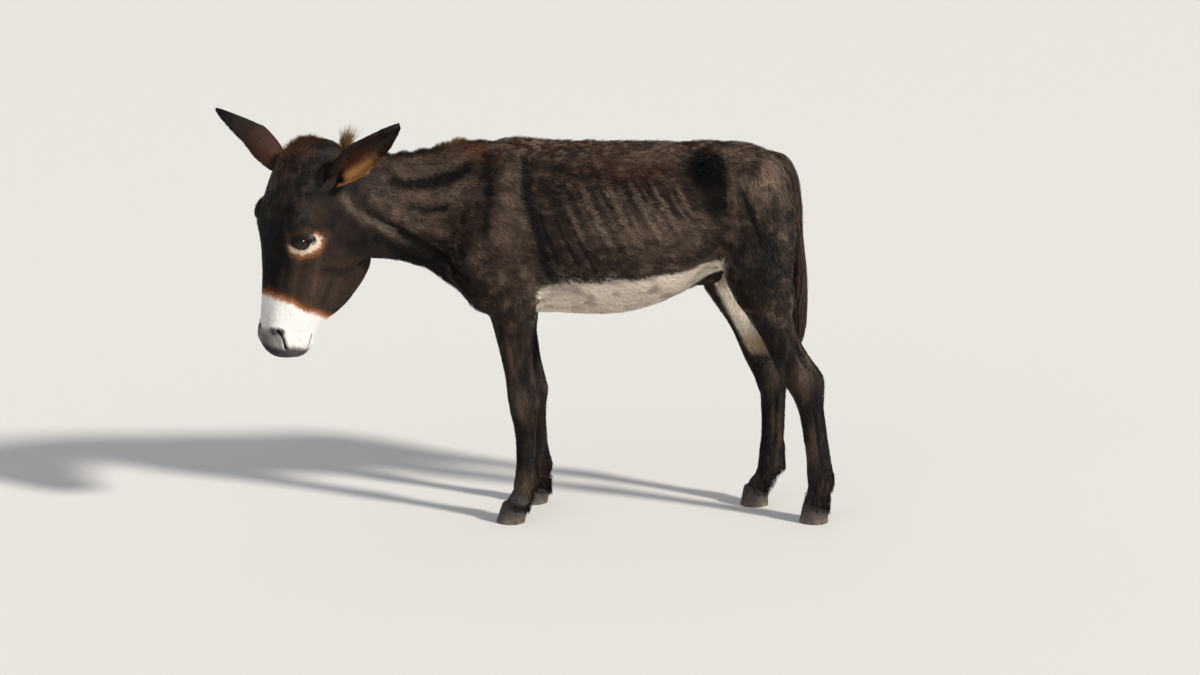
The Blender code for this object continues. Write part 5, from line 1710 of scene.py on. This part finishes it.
def build_eye(side, sign):
    """A glossy ball with a low cornea, a dark brown iris and a wide level pupil."""
    centre, along, across, outward = lid_axes(sign)
    loops = []
    for polar in np.linspace(0.012, math.pi - 0.02, 56):
        radius = EYE_BALL - 0.0004 + 0.0006 * math.exp(-(polar / 0.55) ** 4)
        loops.append([centre + outward * math.cos(polar) * radius
                      + (along * math.cos(a) + across * math.sin(a)) * math.sin(polar) * radius
                      for a in around(RING_STEPS)])

    def colour(points):
        away = unit(points - centre)
        u, w, out = away @ along, away @ across, away @ outward
        radial, angle = np.hypot(u, w), np.arctan2(w, u)
        streak = 0.5 + 0.5 * np.sin(angle * 46 + 3 * np.sin(angle * 7))
        pupil = np.hypot(u / PUPIL_HALF_LENGTH, w / PUPIL_HALF_HEIGHT)
        return layers(
            between(IRIS_DARK, IRIS_LIGHT, streak * 0.6),
            (IRIS_EDGE, ramp(radial, 0.56, 0.72)),
            (EYE_WHITE, ramp(radial, 0.78, 0.88)),
            (PUPIL, (out > 0) * fade(pupil, 0.86, 1.04)),
        )

    form = bmesh.new()
    loft(form, loops)
    return finish_form(form, "eyeball_" + side, "eye_colour", colour)


def horn_colours(points):
    """Dark horn, dusty towards the ground."""
    level = points[:, 2] / HOOF_HEIGHT
    return layers(
        between(HORN_DARK, HORN_LIGHT, noise(points, (0.01, 0.01, 0.004), 30)),
        (HORN_DUST, 0.80 * fade(level, 0.05, 0.60) * noise(points, 0.008, 31)),
        (HORN_TOP, 0.75 * ramp(level, 0.55, 0.95)),
    )


def build_hoof(name, joints, lean):
    """A horn capsule with growth rings, a rounded coronet and a slightly worn lower edge."""
    x, y = joints[-1][:2]
    shares = np.concatenate(((0.0, 0.0, 0.02, 0.05), np.linspace(0.09, 0.84, 25),
                             (0.88, 0.92, 0.96, 0.985, 1.0)))
    shrink = np.concatenate(((0.90, 0.955, 0.985, 0.996), np.ones(25), (0.99, 0.965, 0.92, 0.87, 0.80)))
    rings = []
    for share, narrow in zip(shares, shrink):
        spread = (1.0 - 0.17 * share) * narrow - 0.012
        spread += 0.006 * math.sin(share * 34) * math.sin(math.pi * share) ** 0.5
        ring = []
        for a in around(RING_STEPS):
            c, s = math.cos(a), math.sin(a)
            reach = HOOF_TOE if c >= 0 else HOOF_HEEL
            across = HOOF_HALF_WIDTH * s * (1.0 if c >= 0 else 1.0 - 0.10 * c * c)
            cleft = CLEFT_DEPTH * math.exp(-((abs(a - math.pi)) / CLEFT_HALF_ANGLE) ** 2) * (1 - share)
            flat_x = x - c * (reach - cleft * 1.6) * spread - lean * (1 - share)
            top = HOOF_HEIGHT + (x - flat_x) * math.tan(CORONET_SLOPE)
            ring.append(Vector((flat_x, y + across * spread, top * share)))
        rings.append(ring)
    form = bmesh.new()
    loft(form, rings)
    return finish_form(form, name, "horn_colour", horn_colours)


# ---------------------------------------------------------------- materials
def new_material(name):
    """A material with nodes, and its shader."""
    material = bpy.data.materials.new(name)
    material.use_nodes = True
    return material, material.node_tree.nodes["Principled BSDF"]


def stored(nodes, name, output="Color"):
    """A value that every vertex carries."""
    node = nodes.new("ShaderNodeAttribute")
    node.attribute_name = name
    return node.outputs[output]


def grained_material(name, layer, roughness, specular, shades, along_lie=False, scale=1.0, detail=2.0,
                     stretch=None, levels=(0.0, 1.0), bump=None):
    """Stored colours made darker and lighter by fine noise, which bumps the surface too.

    The noise runs along the stored lie of the coat, or through the piece's own space, stretched.
    shades are the darkest and lightest tints, levels the noise that gives them, and bump is its strength
    and depth.
    """
    material, shader = new_material(name)
    nodes, links = material.node_tree.nodes, material.node_tree.links
    way = stored(nodes, "grain", "Vector") if along_lie else nodes.new("ShaderNodeTexCoord").outputs["Object"]
    if stretch:
        mapping = nodes.new("ShaderNodeMapping")
        mapping.inputs["Scale"].default_value = stretch
        links.new(way, mapping.inputs["Vector"])
        way = mapping.outputs["Vector"]
    grain, shade = nodes.new("ShaderNodeTexNoise"), nodes.new("ShaderNodeMapRange")
    for node, values in (
        (grain, {"Scale": scale, "Detail": detail}),
        (shade, dict(zip(("From Min", "From Max", "To Min", "To Max"), levels + shades))),
        (shader, {"Roughness": roughness, "Specular IOR Level": specular}),
    ):
        for field, value in values.items():
            node.inputs[field].default_value = value
    tinted = nodes.new("ShaderNodeVectorMath")
    tinted.operation = "SCALE"
    links.new(way, grain.inputs["Vector"])
    links.new(grain.outputs["Fac"], shade.inputs["Value"])
    links.new(stored(nodes, layer), tinted.inputs[0])
    links.new(shade.outputs["Result"], tinted.inputs["Scale"])
    links.new(tinted.outputs["Vector"], shader.inputs["Base Color"])
    if bump:
        relief = nodes.new("ShaderNodeBump")
        relief.inputs["Strength"].default_value, relief.inputs["Distance"].default_value = bump
        links.new(grain.outputs["Fac"], relief.inputs["Height"])
        links.new(relief.outputs["Normal"], shader.inputs["Normal"])
    return material


def eye_material():
    """Wet and glossy, in the eye's stored colours."""
    material, shader = new_material("eye_gloss")
    tree = material.node_tree
    tree.links.new(stored(tree.nodes, "eye_colour"), shader.inputs["Base Color"])
    for field, value in (("Roughness", 0.16), ("Specular IOR Level", 0.30), ("Coat Weight", 0.12),
                         ("Coat Roughness", 0.04)):
        shader.inputs[field].default_value = value
    return material


SKIN_SHADE = 0.85               # the skin between the hairs is darker than they are
COAT_FALL = math.radians(24)    # how steeply the streaks run down to the back
BODY_GRAIN, LEG_GRAIN, HEAD_GRAIN = (70, 480, 480), (80, 560, 560), (110, 700, 700)     # streaks in a metre


def paint_skin(skin):
    """The skin's colours and the stretched coordinates that its streaks follow."""
    points, normals = mesh_points(skin.data), mesh_normals(skin.data)
    store(skin.data, "coat_colour", coat_colours(points, normals) * SKIN_SHADE)
    x, y, z = points.T
    cos, sin = math.cos(COAT_FALL), math.sin(COAT_FALL)
    along, over = x * cos - z * sin, x * sin + z * cos
    grain = layers(
        np.column_stack((along, over, y)) * BODY_GRAIN,
        (np.column_stack((z, x, y)) * LEG_GRAIN, leg_share(points)),
        (np.column_stack(head_place(points)) * HEAD_GRAIN, head_share(points)),
    )
    store(skin.data, "grain", grain, "FLOAT_VECTOR", "vector")


# ---------------------------------------------------------------- stage, light and camera
FLOOR_SIZE, FLOOR_COLOUR, FLOOR_ROUGHNESS = 40, (0.72, 0.70, 0.67, 1.0), 0.9
SKY_COLOUR, SKY_STRENGTH = (0.93, 0.95, 1.0, 1.0), 0.44
SUNS = (            # name, the way it comes from, strength, width in degrees, colour
    ("key", (3.3, -1.9, 2.4), 4.1, 6, (1.0, 0.96, 0.90)),
    ("fill", (-1.6, -3.0, 1.6), 0.35, 60, (1.0, 1.0, 1.0)),
)
CAMERA_LENS, SENSOR_WIDTH = 64.188, 36.0    # both in millimetres, unlike all else
CAMERA_DISTANCE, CAMERA_HEIGHT, CAMERA_DROP = 5.0, 1.5, 12.05   # the drop is an angle in degrees


def build_floor():
    """The pale ground of the picture, which isn't part of the animal."""
    form = bmesh.new()
    bmesh.ops.create_grid(form, x_segments=8, y_segments=8, size=FLOOR_SIZE)
    floor = add_object("floor", join_form(form, "floor"))
    material, shader = new_material("pale_floor")
    shader.inputs["Base Color"].default_value = FLOOR_COLOUR
    shader.inputs["Roughness"].default_value = FLOOR_ROUGHNESS
    floor.data.materials.append(material)


def add_sun(name, way, strength, spread, colour):
    """A soft distant light that comes from the given way; spread is its width in degrees."""
    light = bpy.data.lights.new(name, "SUN")
    light.energy, light.angle, light.color = strength, math.radians(spread), colour
    lamp = add_object(name, light)
    lamp.rotation_euler = Vector(way).to_track_quat("Z", "Y").to_euler()


def light_and_camera():
    """A pale sky, a sun from behind the animal on its left, a weak fill, and the view of its left side."""
    scene = bpy.context.scene
    scene.view_settings.view_transform = "Standard"
    scene.world = bpy.data.worlds.new("studio")
    scene.world.use_nodes = True
    sky = scene.world.node_tree.nodes["Background"]
    sky.inputs["Color"].default_value, sky.inputs["Strength"].default_value = SKY_COLOUR, SKY_STRENGTH
    for sun in SUNS:
        add_sun(*sun)
    camera = bpy.data.cameras.new("camera")
    camera.lens, camera.sensor_width = CAMERA_LENS, SENSOR_WIDTH
    scene.camera = add_object("camera", camera)
    scene.camera.location = (SHIFT[0], SHIFT[1] - CAMERA_DISTANCE, CAMERA_HEIGHT)
    scene.camera.rotation_euler = (math.radians(90 - CAMERA_DROP), 0, 0)


# ---------------------------------------------------------------- the whole animal
FLESH_NODES = ("trunk", "neck", "head", "foreleg_left", "foreleg_right", "hindleg_left", "hindleg_right",
               "ear_left", "ear_right")


def settle(piece, material, slot, *nodes):
    """Gives a piece its material and body, and hides the nodes it stands for. The slot is not used."""
    piece.data.materials.clear()
    piece.data.materials.append(material)
    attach(piece, "root")
    if nodes:
        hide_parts(*nodes)


def main():
    skin = build_skin()
    carve_skin(skin)
    thin_out(skin)
    smooth_faces(skin.data)
    paint_skin(skin)
    coat = grow_coat(skin, HAIRS)
    long_pieces = ((build_mane(), "mane"), (build_forelock(skin), "forelock"), (build_tail(), "tail"),
                   (build_feather(skin),), (build_lashes(skin),), (build_ear_fringes(),))
    set_points(skin.data, mesh_points(skin.data) + SHIFT)
    short_coat = grained_material("short_coat", "coat_colour", 0.60, 0.18, (0.60, 1.25), along_lie=True,
                                  detail=3.0, levels=(0.30, 0.70), bump=(0.55, 0.0012))
    hair = grained_material("coat_hair", "coat_colour", 0.60, 0.14, (0.75, 1.25), scale=900.0)
    long_hair = grained_material("long_hair", "coat_colour", 0.55, 0.18, (0.75, 1.25), scale=900.0)
    horn = grained_material("hoof_horn", "horn_colour", 0.62, 0.50, (0.65, 1.35), detail=4.0,
                            stretch=(260, 260, 40), bump=(0.4, 0.0006))
    settle(skin, short_coat, "coat", *FLESH_NODES)
    for piece in coat:
        settle(piece, hair, "coat")
    for piece, *nodes in long_pieces:
        settle(piece, long_hair, "hair", *nodes)
    eyes = eye_material()
    for side, sign in (("left", 1), ("right", -1)):
        settle(build_eye(side, sign), eyes, "eye", "eye_" + side)
    for side, sign in SIDES:
        for kind, joints in (("fore", FORE_JOINTS[side]), ("hind", HIND_JOINTS[side])):
            hoof = build_hoof(f"horn_{kind}_{side}", joints, HOOF_LEAN[kind])
            settle(hoof, horn, "horn", f"hoof_{kind}_{side}")
    build_floor()
    light_and_camera()


main()
